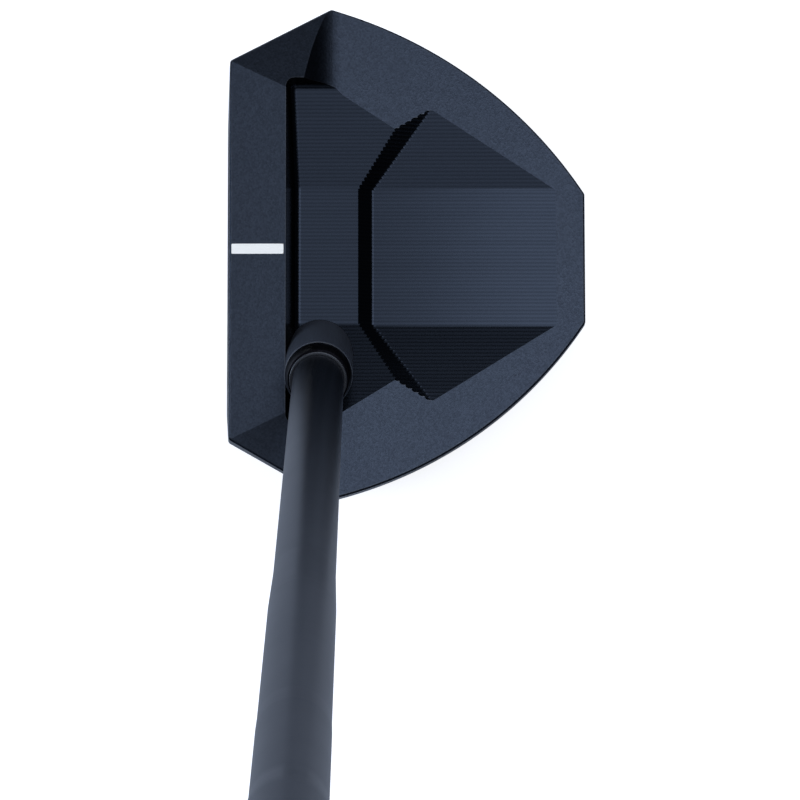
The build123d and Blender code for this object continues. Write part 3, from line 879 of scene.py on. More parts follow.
# ---- Head ------------------------------------------------------------------------------
@dataclass
class Head:
    """The milled head body, in millimetres."""

    depth: float = 66.8
    face_setback: float = 33.0
    length: float = 93.3
    face_length: float = 71.9
    apex_back: float = 19.0
    rear_flat: float = 24.7
    rim_radius: float = 81.9
    bar_depth: float = 10.5
    bar_back_length: float = 61.7
    bar_height: float = 24.3
    bevel_angle: float = 11.6
    ring_height: float = 20.3
    ring_angle: float = 7.4
    hollow_radius: float = 13.6
    hollow_back: float = 21.5
    loft_angle: float = 3.0
    rim_land: float = 3.0
    sole_inset_side: float = 11.5
    sole_inset_face: float = 7.5
    sole_inset_rear: float = 9.5
    sole_radius: float = 78.0
    sole_edge: float = 1.2
    edge_break: float = 0.33
    plan_corner: float = 0.8
    crease_spread: float = 25.9
    facet_angle: float = 11.56
    front_floor: float = 16.5
    rear_floor: float = 14.8
    pocket_length: float = 65.9
    pocket_draft: float = 11.0
    pocket_foot: float = 1.5
    pocket_corner: float = 1.8
    step_back: float = 24.0
    step_run: float = 2.6
    step_top_sweep: float = 0.63
    step_foot_sweep: float = 0.74
    step_round: float = 1.2
    step_relief: float = 14.0
    pass_pitch: float = 0.7
    pass_cusp: float = 0.006
    pass_nose: float = 0.16
    pass_rows: int = 8
    step_least: float = 0.3
    rear_margin: float = 4.0
    reach: float = 70.0
    top: float = 27.9
    clear: float = 8.0

    @property
    def face_x(self) -> float:
        """Place of the top edge of the face."""
        return -self.face_setback

    @property
    def rear_x(self) -> float:
        """Place of the rear edge."""
        return self.depth - self.face_setback

    @property
    def apex_x(self) -> float:
        """Place of the heel and toe apexes."""
        return self.face_x + self.apex_back

    @property
    def bar_back_x(self) -> float:
        """Place of the bar's back edge."""
        return self.face_x + self.bar_depth

    def ring_z(self, x: float) -> float:
        """Height of the sloped rim."""
        return self.ring_height - (x - self.apex_x) * tan_deg(self.ring_angle)

    def outline(self, half_face: float, half_apex: float, half_rear: float, rear_x: float,
                radius: float, height: object) -> list[Point3]:
        """Closed outline of the head on the surface z = height(x).

        Args:
            half_face: Half the length of the face.
            half_apex: Half the length between the apexes.
            half_rear: Half the straight stretch at the rear.
            rear_x: Place of the rear edge.
            radius: Radius of the curved sides.
            height: Function that gives the height at x.

        Returns:
            The outline's points, from the toe end of the face round the heel.
        """
        chord = Vector((rear_x - self.apex_x, half_rear - half_apex))
        middle = Vector(((rear_x + self.apex_x) / 2, (half_rear + half_apex) / 2))
        outward = Vector((-chord.y, chord.x)).normalized()
        centre = middle - outward * math.sqrt(radius ** 2 - (chord.length / 2) ** 2)
        first = math.atan2(half_apex - centre.y, self.apex_x - centre.x)
        last = math.atan2(half_rear - centre.y, rear_x - centre.x)
        steps = 40
        side = []
        for k in range(steps + 1):
            angle = first + (last - first) * k / steps
            side.append((centre.x + radius * math.cos(angle), centre.y + radius * math.sin(angle)))
        lean = tan_deg(self.loft_angle)
        rise = height(self.face_x + 1) - height(self.face_x)
        front_x = (self.face_x - (self.bar_height - height(0)) * lean) / (1 - rise * lean)
        heel = [(front_x, -half_face)] + [(x, -y) for x, y in side]
        toe = [(x, y) for x, y in reversed(side)] + [(front_x, half_face)]
        radii = [self.plan_corner] * 2 + [0.0] * (steps - 1) + [self.plan_corner]
        path = rounded_path(heel + toe, radii + radii[::-1], 5)
        return [(x, y, height(x)) for x, y in path]

    def blank(self) -> Thing:
        """The head before its top is cut, with upright sides over an undercut."""
        plan = (self.face_length / 2, self.length / 2, self.rear_flat / 2, self.rear_x, self.rim_radius)
        sole = self.outline(
            self.face_length / 2 - self.sole_inset_face,
            self.length / 2 - self.sole_inset_side,
            self.rear_flat / 2 - self.sole_inset_face / 2,
            self.rear_x - self.sole_inset_rear,
            self.sole_radius,
            lambda x: 0.0,
        )
        rim = self.outline(*plan, lambda x: self.ring_z(x) - self.rim_land)
        top = self.outline(*plan, lambda x: self.bar_height)
        return loft("milled_head", self.rounded_sole(sole, rim) + [rim, top])

    def rounded_sole(self, sole: list[Point3], rim: list[Point3]) -> list[list[Point3]]:
        """Sections that round the edge between the sole and the undercut side.

        Args:
            sole: The sharp outline of the sole.
            rim: The outline at the top of the undercut.

        Returns:
            The sections, from the flat of the sole up to the side.
        """
        reach, least_turn = 0.55 * self.sole_edge, 0.3
        steps = 5
        count = len(sole)
        flats, walls = [], []
        for k, corner in enumerate(sole):
            before, after = Vector(sole[k - 1]), Vector(sole[(k + 1) % count])
            here = Vector(corner)
            ahead, behind = (after - here).normalized(), (here - before).normalized()
            inward = Vector((-(ahead + behind).y, (ahead + behind).x, 0)).normalized()
            share = reach / max(least_turn, inward.dot(Vector((-ahead.y, ahead.x, 0))))
            flats.append(here + inward * share)
            side = Vector(rim[k]) - here
            walls.append(here + side * (reach / side.length))
        sections = []
        for step in range(steps + 1):
            u = step / steps
            blend = zip(flats, sole, walls)
            points = [a * (1 - u) ** 2 + Vector(b) * (2 * u * (1 - u)) + c * u ** 2 for a, b, c in blend]
            sections.append([tuple(point) for point in points])
        return sections

    def bevel_cutter(self, side: int) -> Thing:
        """Everything above the heel (side -1) or toe (side 1) bevel of the bar."""
        outer = Vector((self.face_x, side * self.face_length / 2, self.bar_height))
        inner = Vector((self.bar_back_x, side * self.bar_back_length / 2, self.bar_height))
        along = (inner - outer).normalized()
        outward = Vector((-along.y, along.x, 0)) * side
        tilt = math.radians(self.bevel_angle)
        normal = outward * math.sin(tilt) + Vector((0, 0, 1)) * math.cos(tilt)
        across = normal.cross(along)
        reach = 2 * self.reach
        corners = [outer + along * a * reach + across * b * reach for a, b in QUARTERS]
        sections = [[tuple(c + normal * h) for c in corners] for h in (0, self.reach)]
        return loft("bevel_cutter", sections)

    def ring_cutter(self) -> Thing:
        """Everything above the sloped rim and the hollow behind the bar."""
        tangent_x = self.face_x + self.hollow_back
        tilt = math.radians(self.ring_angle)
        radius = self.hollow_radius
        x = tangent_x + radius * math.sin(tilt)
        z = self.ring_z(tangent_x) + radius * math.cos(tilt)
        profile = []
        steps, sweep = 24, math.radians(60)
        for k in range(steps + 1):
            angle = tilt + sweep * (1 - k / steps)
            profile.append((x - radius * math.sin(angle), z - radius * math.cos(angle)))
        high = self.bar_height + self.reach
        profile += [(self.reach, self.ring_z(self.reach)), (self.reach, high), (profile[0][0], high)]
        return loft("ring_cutter", [[(x, y, z) for x, z in profile] for y in (-self.reach, self.reach)])

    def pass_rows_between(self, half: float) -> list[tuple[float, float]]:
        """Rows of a milled floor from -half to half.

        Args:
            half: Half the floor's length along Y.

        Returns:
            (y, y of the pass's centre) of each row; a pass's outer rows stand close to its
            neighbours', so that what changes from pass to pass changes at once.
        """
        rows = []
        edge = 0.49
        number = math.ceil(half / self.pass_pitch)
        for k in range(-number, number + 1):
            centre = k * self.pass_pitch
            for step in range(self.pass_rows):
                offset = (2 * step / (self.pass_rows - 1) - 1) * edge * self.pass_pitch
                if abs(centre + offset) < half:
                    rows.append((centre + offset, centre))
        return [(-half, rows[0][1])] + rows + [(half, rows[-1][1])]

    def scallop(self, y: float, centre: float) -> float:
        """Rise of a pass's floor from its centre to its cusps, as a share of the cusp."""
        return (2 * (y - centre) / self.pass_pitch) ** 2

    def floor_path(self, level: float, half: float, walled: bool) -> list[Point2]:
        """Section of a pocket's floor along Y, as (y, z) points.

        Args:
            level: Height of the level floor.
            half: Half the pocket's length, at the mouth if it is walled.
            walled: Whether leaning walls close its heel and toe ends.

        Returns:
            The section, rounded at its creases and at the feet of its walls.
        """
        crease = self.crease_spread / 2
        slope = tan_deg(self.facet_angle)
        if walled:
            lean = tan_deg(self.pocket_draft)
            above = self.top - self.bar_height
            foot_y = (half - lean * (self.bar_height - level + slope * crease)) / (1 - lean * slope)
            ends = [(half + lean * above, self.top), (foot_y, level + (foot_y - crease) * slope)]
            radii = [0, self.pocket_foot]
        else:
            ends = [(half, level + (half - crease) * slope)]
            radii = [0]
        toe = ends + [(crease, level)]
        corners = [(-y, z) for y, z in toe] + list(reversed(toe))
        crease_round = 2.0
        radii = radii + [crease_round, crease_round] + radii[::-1]
        return rounded_path(corners, radii, 8, closed=False)

    def front_cutter(self) -> Thing:
        """The front pocket, with the scallops of the passes along X."""
        half = self.pocket_length / 2
        lean = tan_deg(self.pocket_draft)
        path = self.floor_path(self.front_floor, half, walled=True)
        highest, furthest = self.top - 0.02, 0.98 * self.pocket_corner
        sections = []
        for y, centre in self.pass_rows_between(path[-1][0]):
            floor = min(read_off(path, y) + self.pass_cusp * self.scallop(y, centre), highest)
            past = min(max(abs(y) - (half - self.pocket_corner), 0), furthest)
            shift = self.pocket_corner - math.sqrt(self.pocket_corner ** 2 - past ** 2)
            wall_x = self.bar_back_x + shift
            corners = [
                (wall_x - (self.top - self.bar_height) * lean, self.top),
                (wall_x + (self.bar_height - floor) * lean, floor),
                (self.reach, floor),
                (self.reach, self.top),
            ]
            profile = rounded_path(corners, [0, self.pocket_foot, 0, 0], 8)
            sections.append([(x, y, z) for x, z in profile])
        return loft("front_cutter", sections)

    def rear_cutter(self) -> Thing:
        """The rear pocket; each pass ends in its own round nose at the step."""
        half = self.length / 2 - self.rear_margin
        crease = self.crease_spread / 2
        front = self.floor_path(self.front_floor, half, walled=False)
        rear = self.floor_path(self.rear_floor, half, walled=False)
        relief = tan_deg(self.step_relief)
        run = 4.0
        sections = []
        for y, centre in self.pass_rows_between(half):
            out = max(0.0, abs(centre) - crease)
            rise = self.scallop(y, centre)
            nose = self.pass_nose * rise if out > 0 else 0.0
            foot_x = self.face_x + self.step_back + self.step_run + self.step_foot_sweep * out + nose
            top_x = self.face_x + self.step_back + self.step_top_sweep * out + nose
            floor = read_off(rear, y) + self.pass_cusp * rise
            brink = max(read_off(front, y), floor + self.step_least)
            corners = [
                (top_x - run, self.top + self.clear),
                (top_x - run, brink + run * relief),
                (top_x, brink),
                (foot_x, floor),
                (self.reach, floor),
                (self.reach, self.top + self.clear),
            ]
            profile = rounded_path(corners, [0, 0, self.step_round, self.step_round, 0, 0], 5)
            sections.append([(x, y, z) for x, z in profile])
        return loft("rear_cutter", sections)

    def build(self, blasted: Material, milled: Material,
              recesses: list[Thing]) -> Thing:
        """Cuts the head from its blank.

        Args:
            blasted: Material of the outside.
            milled: Material of what is cut last.
            recesses: Solids of the seats for the other pieces.

        Returns:
            The head, in millimetres.
        """
        body = dress(self.blank(), blasted)
        top_cutters = [self.bevel_cutter(1), self.bevel_cutter(-1), self.ring_cutter()]
        carve(body, [dress(cutter, blasted) for cutter in top_cutters])
        chamfer_rim(body, self.edge_break, self.bar_height / 3)
        cutters = recesses + [self.front_cutter(), self.rear_cutter()]
        return carve(body, [dress(cutter, milled) for cutter in cutters])


@dataclass
class SightLine:
    """Enamel in the bar's groove, slightly dished as it dried."""

    head: Head
    width: float = 1.9
    depth: float = 0.3
    corner: float = 0.18
    margin: float = 0.4
    dish: float = 0.05

    def seat(self) -> Thing:
        """The groove, as a solid to cut."""
        low = self.head.bar_height - self.depth
        return slab("sight_seat", self.outline(0.0), low, self.head.bar_height + 1)

    def outline(self, inset: float) -> list[Point2]:
        """Outline of the line, drawn in by inset."""
        length = self.head.bar_depth - 2 * self.margin
        centre = (self.head.face_x + self.margin + length / 2, 0.0)
        length, width = length - 2 * inset, self.width - 2 * inset
        return rounded_rectangle(length, width, self.corner, centre, 6)

    def build(self, material: Material) -> Thing:
        """The enamel, its top lower along the middle."""
        top = self.head.bar_height
        levels = [(0.0, top - self.depth), (0.0, top - 0.012), (0.03, top), (0.16, top - 0.014),
                  (0.36, top - 0.6 * self.dish), (0.62, top - 0.9 * self.dish), (0.85, top - self.dish)]
        sections = [lifted(self.outline(inset), z) for inset, z in levels]
        return dress(loft("sight_enamel", sections), material)


@dataclass
class FaceInsert:
    """The insert in the face, with grooves milled along it."""

    head: Head
    length: float = 54.0
    height: float = 15.0
    thick: float = 2.6
    corner: float = 3.0
    centre: float = 12.0
    pad: float = 0.4
    edge: float = 0.18
    groove_count: int = 13
    groove_pitch: float = 1.0
    groove_radius: float = 0.62
    groove_depth: float = 0.16
    groove_margin: float = 2.4

    def place(self, piece: Thing) -> Thing:
        """Moves a plate drawn on z = 0 (outer face up) onto the face."""
        tilt = math.radians(self.head.loft_angle)
        out = Vector((-math.cos(tilt), 0, math.sin(tilt)))
        along = Vector((0, -1, 0))
        face_x = self.head.face_x - (self.head.bar_height - self.centre) * math.tan(tilt)
        turn = Matrix((along, out.cross(along), out)).transposed().to_4x4()
        piece.data.transform(Matrix.Translation((face_x, 0, self.centre)) @ turn)
        return piece

    def seat(self) -> Thing:
        """The recess, as a solid to cut."""
        outline = rounded_rectangle(self.length, self.height, self.corner)
        return self.place(slab("insert_seat", outline, -self.thick - self.pad, 1.0))

    def build(self, grooves: Tree, material: Material) -> Thing:
        """The insert with its grooves."""
        outline = rounded_rectangle(self.length, self.height, self.corner)
        plate = soften(slab("grooved_insert", outline, -self.thick, 0.0), self.edge)
        first = -(self.groove_count - 1) / 2 * self.groove_pitch
        grooves.grow(dress(plate, material), {
            "Count": self.groove_count,
            "Pitch": self.groove_pitch,
            "Radius": self.groove_radius,
            "Length": self.length - 2 * self.groove_margin,
            "First": (0.0, first, self.groove_radius - self.groove_depth),
            "Turn": (0.0, math.pi / 2, 0.0),
            "Step": (0.0, 1.0, 0.0),
            "Material": material,
        })
        return self.place(plate)


@dataclass
class Sole:
    """The sole plate, its screws and the two turned weights."""

    head: Head
    plate_start: float = 16.0
    plate_end: float = 7.3
    plate_web: float = 4.6
    plate_thick: float = 3.0
    plate_corner: float = 6.0
    plate_edge: float = 0.3
    gasket: float = 0.4
    ledge: float = 6.2
    core_height: float = 7.8
    core_corner: float = 2.0
    core_gap: float = 0.05
    screw_wall: float = 0.6
    screw_d: float = 2.5
    screw_head_d: float = 4.6
    screw_head_h: float = 1.3
    screw_length: float = 7.0
    screw_hex: float = 1.5
    screw_hex_depth: float = 0.9
    thread_pitch: float = 0.45
    thread_depth: float = 0.22
    sink_gap: float = 0.12
    hole_gap: float = 0.1
    weight_d: float = 13.0
    weight_h: float = 7.5
    weight_back: float = 23.0
    weight_edge: float = 3.5
    weight_recess: float = 0.4
    washer: float = 0.5
    key_pcd: float = 7.0
    key_d: float = 1.6
    key_depth: float = 1.6

    @property
    def weight_x(self) -> float:
        """Place of the weights along X."""
        return self.head.face_x + self.weight_back

    @property
    def weight_y(self) -> float:
        """Distance of the weights from the middle."""
        return self.head.length / 2 - self.head.sole_inset_side - self.weight_edge - self.weight_d / 2

    @property
    def plate_size(self) -> tuple[float, float]:
        """Length and width of the sole plate."""
        front = self.head.face_x + self.plate_start
        rear = self.head.rear_x - self.head.sole_inset_rear - self.plate_end
        return rear - front, 2 * (self.weight_y - self.weight_d / 2 - self.plate_web)

    @property
    def plate_x(self) -> float:
        """Centre of the sole plate along X."""
        return self.head.face_x + self.plate_start + self.plate_size[0] / 2

    def screw_places(self) -> list[Point3]:
        """Centres of the four screws."""
        inset = self.ledge - self.screw_d / 2 - self.screw_wall
        x, y = self.plate_size[0] / 2 - inset, self.plate_size[1] / 2 - inset
        return [(self.plate_x + sx * x, sy * y, 0.0) for sx in (-1, 1) for sy in (-1, 1)]

    def seats(self) -> list[Thing]:
        """The recesses of the plate, the core weight, the screws and the weights."""
        length, width = self.plate_size
        centre = (self.plate_x, 0.0)
        floor = self.plate_thick + self.gasket
        plate = rounded_rectangle(length, width, self.plate_corner, centre)
        gap = 2 * (self.core_gap - self.ledge)
        core = rounded_rectangle(length + gap, width + gap, self.core_corner, centre)
        solids = [
            slab("plate_seat", plate, -1, floor),
            slab("core_seat", core, floor - 0.5, floor + self.core_height),
        ]
        for x, y, _ in self.screw_places():
            outline = circle(self.screw_d / 2, (x, y), 32)
            solids.append(slab("screw_seat", outline, floor - 0.5, self.screw_length))
        deep = self.weight_recess + self.weight_h + self.washer
        for side in (-1, 1):
            outline = circle(self.weight_d / 2, (self.weight_x, side * self.weight_y), 96)
            solids.append(slab("weight_seat", outline, -1, deep))
        return solids

    def build_plate(self, material: Material) -> Thing:
        """The plate, with countersunk holes."""
        length, width = self.plate_size
        outline = rounded_rectangle(length, width, self.plate_corner, (self.plate_x, 0.0), 16)
        plate = soften(slab("brushed_sole_plate", outline, 0.0, self.plate_thick), self.plate_edge)
        sink = self.screw_head_d / 2 + self.sink_gap
        hole = self.screw_d / 2 + self.hole_gap
        below, above = -0.5, self.plate_thick + 1
        profile = [(0, below), (sink - below, below), (hole, self.screw_head_h + self.hole_gap),
                   (hole, above), (0, above)]
        cutters = []
        for place in self.screw_places():
            cutter = turned("countersink", profile, 48)
            cutter.data.transform(Matrix.Translation(place))
            cutters.append(cutter)
        return carve(dress(plate, material), [dress(cutter, material) for cutter in cutters])

    def build_screws(self, copies: Tree, material: Material) -> Thing:
        """The four screws, with socket heads and threaded shanks."""
        shank, root = self.screw_d / 2, self.screw_d / 2 - self.thread_depth
        head_edge = 0.12
        profile = [(0, 0), (self.screw_head_d / 2 - head_edge, 0), (self.screw_head_d / 2, head_edge),
                   (shank, self.screw_head_h)]
        turns = int((self.screw_length - self.plate_thick - 0.5) / self.thread_pitch)
        for k in range(turns):
            base = self.plate_thick + k * self.thread_pitch
            profile += [(shank, base), (root, base + self.thread_pitch / 2)]
        tip = shank - 0.3
        profile += [(tip, self.screw_length), (0, self.screw_length)]
        screw = turned("socket_screw", profile, 40)
        hexagon = circle(self.screw_hex / math.sqrt(3), count=6)
        socket = slab("hex_socket", hexagon, -0.5, self.screw_hex_depth)
        carve(dress(screw, material), [dress(socket, material)])
        places = mesh_object("sole_plate_screws", self.screw_places(), [])
        copies.grow(places, {"Part": screw, "Material": material})
        bpy.data.objects.remove(screw)
        return places

    def build_weight(self, side: int, material: Material) -> Thing:
        """The heel (side -1) or toe (side 1) weight, with a turned rim and two key holes."""
        name = "heel_weight_disc" if side < 0 else "toe_weight_disc"
        radius = self.weight_d / 2
        corners = [(0, 0.25), (1.6, 0.25), (1.8, 0), (radius - 1.15, 0), (radius - 1.0, 0.22),
                   (radius - 0.75, 0.22), (radius - 0.6, 0), (radius, 0), (radius, self.weight_h),
                   (0, self.weight_h)]
        radii = [0, 0.05, 0.08, 0.06, 0.05, 0.05, 0.06, 0.3, 0.3, 0]
        weight = turned(name, rounded_path(corners, radii, 4), FINE_TURN)
        holes = []
        for turn in (-1, 1):
            outline = circle(self.key_d / 2, (turn * self.key_pcd / 2, 0), 32)
            holes.append(dress(slab("key_hole", outline, -1, self.key_depth), material))
        carve(dress(weight, material), holes)
        place = (self.weight_x, side * self.weight_y, self.weight_recess)
        weight.data.transform(Matrix.Translation(place))
        return weight


@dataclass
class Hosel:
    """The collar, the ferrule and the trim ring on the shaft line."""

    line: ShaftLine
    start: float = 12.0
    end: float = 37.2
    diameter: float = 12.6
    gap: float = 0.05
    floor: float = 2.0
    bore_d: float = 9.4
    rim_round: float = 0.45
    ferrule_length: float = 4.2
    ferrule_lip: float = 0.9
    ferrule_shy: float = 0.12
    ferrule_belly: float = 0.16
    seat_reach: float = 30.0
    ring_length: float = 0.4
    ring_width: float = 0.6

    def seat(self) -> Thing:
        """The collar's bore, as a solid to cut."""
        outline = circle(self.diameter / 2 + self.gap, count=96)
        return self.line.place(slab("collar_seat", outline, self.start, self.end + self.seat_reach))

    def build_collar(self, material: Material) -> Thing:
        """The collar, its outer rim rounded."""
        outer, bore = self.diameter / 2, self.bore_d / 2
        corners = [(0, self.start), (outer, self.start), (outer, self.end), (bore, self.end),
                   (bore, self.start + self.floor), (0, self.start + self.floor)]
        profile = rounded_path(corners, [0, 0.3, self.rim_round, 0.06, 0, 0], 6)
        return self.line.turned("hosel_sleeve", profile, material)

    def build_ferrule(self, material: Material) -> Thing:
        """The ferrule, tapering to the shaft with a slight belly."""
        bore, outer = self.bore_d / 2, self.diameter / 2 - self.ferrule_shy
        top = self.end + self.ferrule_length
        lip = bore + self.ferrule_lip
        side = []
        steps = 12
        for k in range(steps + 1):
            part = k / steps
            belly = self.ferrule_belly * math.sin(math.pi * part)
            side.append((outer + (lip - outer) * part + belly, self.end + self.ferrule_length * part))
        corners = [(bore, self.end)] + side + [(bore, top)]
        radii = [0.0, 0.12] + [0.0] * (steps - 1) + [0.18, 0.0]
        profile = rounded_path(corners, radii, 4)
        return self.line.turned("tapered_ferrule", profile, material)

    def build_ring(self, material: Material) -> Thing:
        """The trim ring on top of the ferrule."""
        bore = self.bore_d / 2
        start = self.end + self.ferrule_length
        corners = [(bore, start), (bore + self.ring_width, start),
                   (bore + self.ring_width, start + self.ring_length), (bore, start + self.ring_length)]
        profile = rounded_path(corners, [0, 0.12, 0.18, 0.05], 4)
        return self.line.turned("ferrule_ring", profile, material)


@dataclass
class Shaft:
    """The stepped tube, in millimetres from the ground up."""

    line: ShaftLine
    start: float = 14.0
    end: float = 861.0
    tip_d: float = 9.4
    first_rise: float = 0.55
    first_taper: tuple[float, float] = (193.0, 214.5)
    faint_rise: float = 0.15
    faint_taper: tuple[float, float] = (274.0, 280.0)
    step_start: float = 312.0
    step_end: float = 577.0
    step_count: int = 8
    step_taper: float = 6.0
    butt_d: float = 15.0
    wall: float = 0.9

    def stations(self) -> list[Point2]:
        """(radius, place) of each corner of the tube's outside."""
        second = self.tip_d + self.first_rise
        third = second + self.faint_rise
        stations = [(self.tip_d, self.start), (self.tip_d, self.first_taper[0]),
                    (second, self.first_taper[1]), (second, self.faint_taper[0]),
                    (third, self.faint_taper[1])]
        rise = (self.butt_d - third) / self.step_count
        pitch = (self.step_end - self.step_start) / self.step_count
        for k in range(self.step_count):
            place = self.step_start + k * pitch
            stations.append((third + k * rise, place))
            stations.append((third + (k + 1) * rise, place + self.step_taper))
        stations.append((self.butt_d, self.end))
        return [(d / 2, s) for d, s in stations]

    def build(self, material: Material) -> Thing:
        """The tube, with each taper run into its neighbours."""
        outside = self.stations()
        bore = [(r - self.wall, s) for r, s in reversed(outside)]
        bend, rim = 60.0, 0.15
        radii = [rim] + [bend] * (len(outside) - 2) + [rim]
        profile = rounded_path(outside + bore, radii + [0.0] * len(bore), 5)
        return self.line.turned("stepped_shaft", profile, material)


# ---- Grip ------------------------------------------------------------------------------
@dataclass
class Grip:
    """The grip's skin, pips, cap and butt weight, in millimetres."""

    line: ShaftLine
    length: float = 264.0
    end: float = 861.0
    top: float = 864.0
    mouth: tuple[float, float] = (11.0, 0.9)
    belly: tuple[float, float] = (14.2, 2.6)
    butt: tuple[float, float] = (13.6, 2.4)
    belly_back: float = 75.0
    skin: float = 1.3
    flat_round: float = 2.2
    pip_radius: float = 0.62
    pip_height: float = 0.34
    pip_pitch: float = 2.1
    pip_sink: float = 0.08
    pip_margin: float = 13.0
    cap_spigot: float = 14.0
    cap_bore: float = 20.0
    cap_bore_d: float = 9.0
    spigot_d: float = 13.16
    weight_length: float = 22.0
    weight_head_d: float = 14.0
    weight_head_h: float = 1.4
    weight_hex: float = 5.0
    weight_hex_depth: float = 3.0
    weight_gap: float = 0.05

    @property
    def start(self) -> float:
        """Place of the grip's mouth."""
        return self.end - self.length

    def size_at(self, s: float) -> tuple[float, float]:
        """Radius and depth of the thumb flat at a place, on a parabola through the three sections."""
        places = (self.start, self.top - self.belly_back, self.end)
        sizes = []
        for a, b, c in zip(self.mouth, self.belly, self.butt):
            share = [1.0, 1.0, 1.0]
            for i in range(3):
                for j in range(3):
                    if i != j:
                        share[i] *= (s - places[j]) / (places[i] - places[j])
            sizes.append(a * share[0] + b * share[1] + c * share[2])
        return sizes[0], sizes[1]

    def section(self, s: float, inset: float, count: int = 96) -> list[Point2]:
        """Round section with a flat on its toe side, its two corners rounded.

        Args:
            s: Place along the shaft line.
            inset: How far inside the skin's surface.
            count: Points in the round stretch.

        Returns:
            The section's points.
        """
        radius, cut = self.size_at(s)
        flat = radius - cut - inset
        radius -= inset
        half = math.acos(flat / radius)
        start = math.pi / 2 + half
        sweep = 2 * math.pi - 2 * half
        turns = [start + sweep * k / count for k in range(count + 1)]
        corners = [(radius * math.cos(t), radius * math.sin(t)) for t in turns]
        belly_half, bow = 0.6, 0.25
        rounding = self.flat_round * half / belly_half
        blended = []
        for x, y in corners:
            over = y - (flat - rounding)
            blended.append((x, y - bow * over * over / rounding if over > 0 else y))
        edge_x, edge_y = blended[-1]
        across = 10
        for k in range(1, across):
            part = k / across
            crown = bow * rounding * (1 - (2 * part - 1) ** 2) ** 0.5
            blended.append((edge_x * (1 - 2 * part), edge_y + crown))
        return blended

    def build_skin(self, material: Material) -> Thing:
        """The skin: outside, rolled mouth, inside, as one closed shell."""
        rows = 44
        outer, inner = [], []
        for k in range(rows + 1):
            s = self.start + self.length * k / rows
            outer.append(lifted(self.section(s, 0.0), s))
            inner.append(lifted(self.section(s, self.skin), s))
        lip = 0.5
        rolled = [(0.28, 0.0), (0.08, 0.2), (0.0, lip)]
        mouth = [lifted(self.section(self.start, inset), self.start + up) for inset, up in rolled]
        sections = mouth + outer[1:] + inner[::-1]
        return dress(self.line.place(loft("grip_sleeve", sections, ring=True)), material)

    def pip_guide(self) -> Thing:
        """Points and faces over the skin where the pips stand, in staggered rows."""
        around = 36
        row_pitch = self.pip_pitch * 0.9
        rows = int((self.length - 2 * self.pip_margin) / row_pitch)
        points, faces = [], []
        for row in range(rows + 1):
            s = self.start + self.pip_margin + row * row_pitch
            section = self.section(s, self.pip_sink - 0.5 * self.pip_height)
            ring = section + section[:1]
            lengths = [0.0]
            for a, b in zip(ring, ring[1:]):
                lengths.append(lengths[-1] + math.dist(a, b))
            for k in range(around):
                target = lengths[-1] * (k + 0.5 * (row % 2)) / around
                index = next(i for i, reach in enumerate(lengths[1:]) if reach >= target)
                part = (target - lengths[index]) / (lengths[index + 1] - lengths[index])
                x = ring[index][0] + (ring[index + 1][0] - ring[index][0]) * part
                y = ring[index][1] + (ring[index + 1][1] - ring[index][1]) * part
                points.append((x, y, s))
        for row in range(rows):
            for k in range(around):
                after = (k + 1) % around
                base, above = row * around, (row + 1) * around
                faces.append((base + k, base + after, above + after, above + k))
        return mesh_object("grip_pips", points, faces)

    def build_pips(self, pips: Tree, material: Material) -> Thing:
        """The pips over the skin."""
        guide = self.line.place(self.pip_guide())
        return pips.grow(guide, {
            "Radius": self.pip_radius,
            "Height": self.pip_height,
            "Sides": 6,
            "Seed": 4,
            "Material": material,
        })

    def build_cap(self, material: Material) -> Thing:
        """The cap, with its spigot and the seat of the butt weight."""
        levels = [(0.0, self.end), (0.0, self.top - 0.9), (0.12, self.top - 0.4), (0.42, self.top - 0.1),
                  (0.9, self.top)]
        sections = [lifted(self.section(self.end, inset), z) for inset, z in levels]
        cap = dress(loft("butt_cap", sections), material)
        low, high = self.end - self.cap_spigot, self.end + 0.5
        spigot = slab("cap_spigot", circle(self.spigot_d / 2), low, high)
        combine(cap, spigot, "UNION", "INDEX")
        bore = slab("cap_bore", circle(self.cap_bore_d / 2), self.end - self.cap_bore, self.top + 1)
        seat_low = self.top - self.weight_head_h
        seat_outline = circle(self.weight_head_d / 2, count=96)
        seat = slab("weight_head_seat", seat_outline, seat_low, self.top + 1)
        carve(cap, [dress(bore, material), dress(seat, material)])
        return self.line.place(cap)

    def build_butt_weight(self, material: Material) -> Thing:
        """The screw-in butt weight, with a hex socket and a turned head."""
        head = self.weight_head_d / 2 - self.weight_gap
        body = self.cap_bore_d / 2 - self.weight_gap
        head_low = self.top - self.weight_head_h
        low = head_low - self.weight_length
        flush, groove = self.top - 0.05, self.top - 0.25
        corners = [(0, low), (body, low), (body, head_low), (head, head_low), (head, flush),
                   (head - 1.6, flush), (head - 1.75, groove), (head - 2.0, groove),
                   (head - 2.15, flush), (0, flush)]
        radii = [0, 0.5, 0, 0.1, 0.25, 0.05, 0.05, 0.05, 0.05, 0]
        weight = turned("butt_weight_plug", rounded_path(corners, radii, 4), FINE_TURN)
        hexagon = circle(self.weight_hex / math.sqrt(3), count=6)
        key = dress(slab("butt_hex", hexagon, self.top - self.weight_hex_depth, self.top + 1), material)
        return self.line.place(carve(dress(weight, material), [key]))


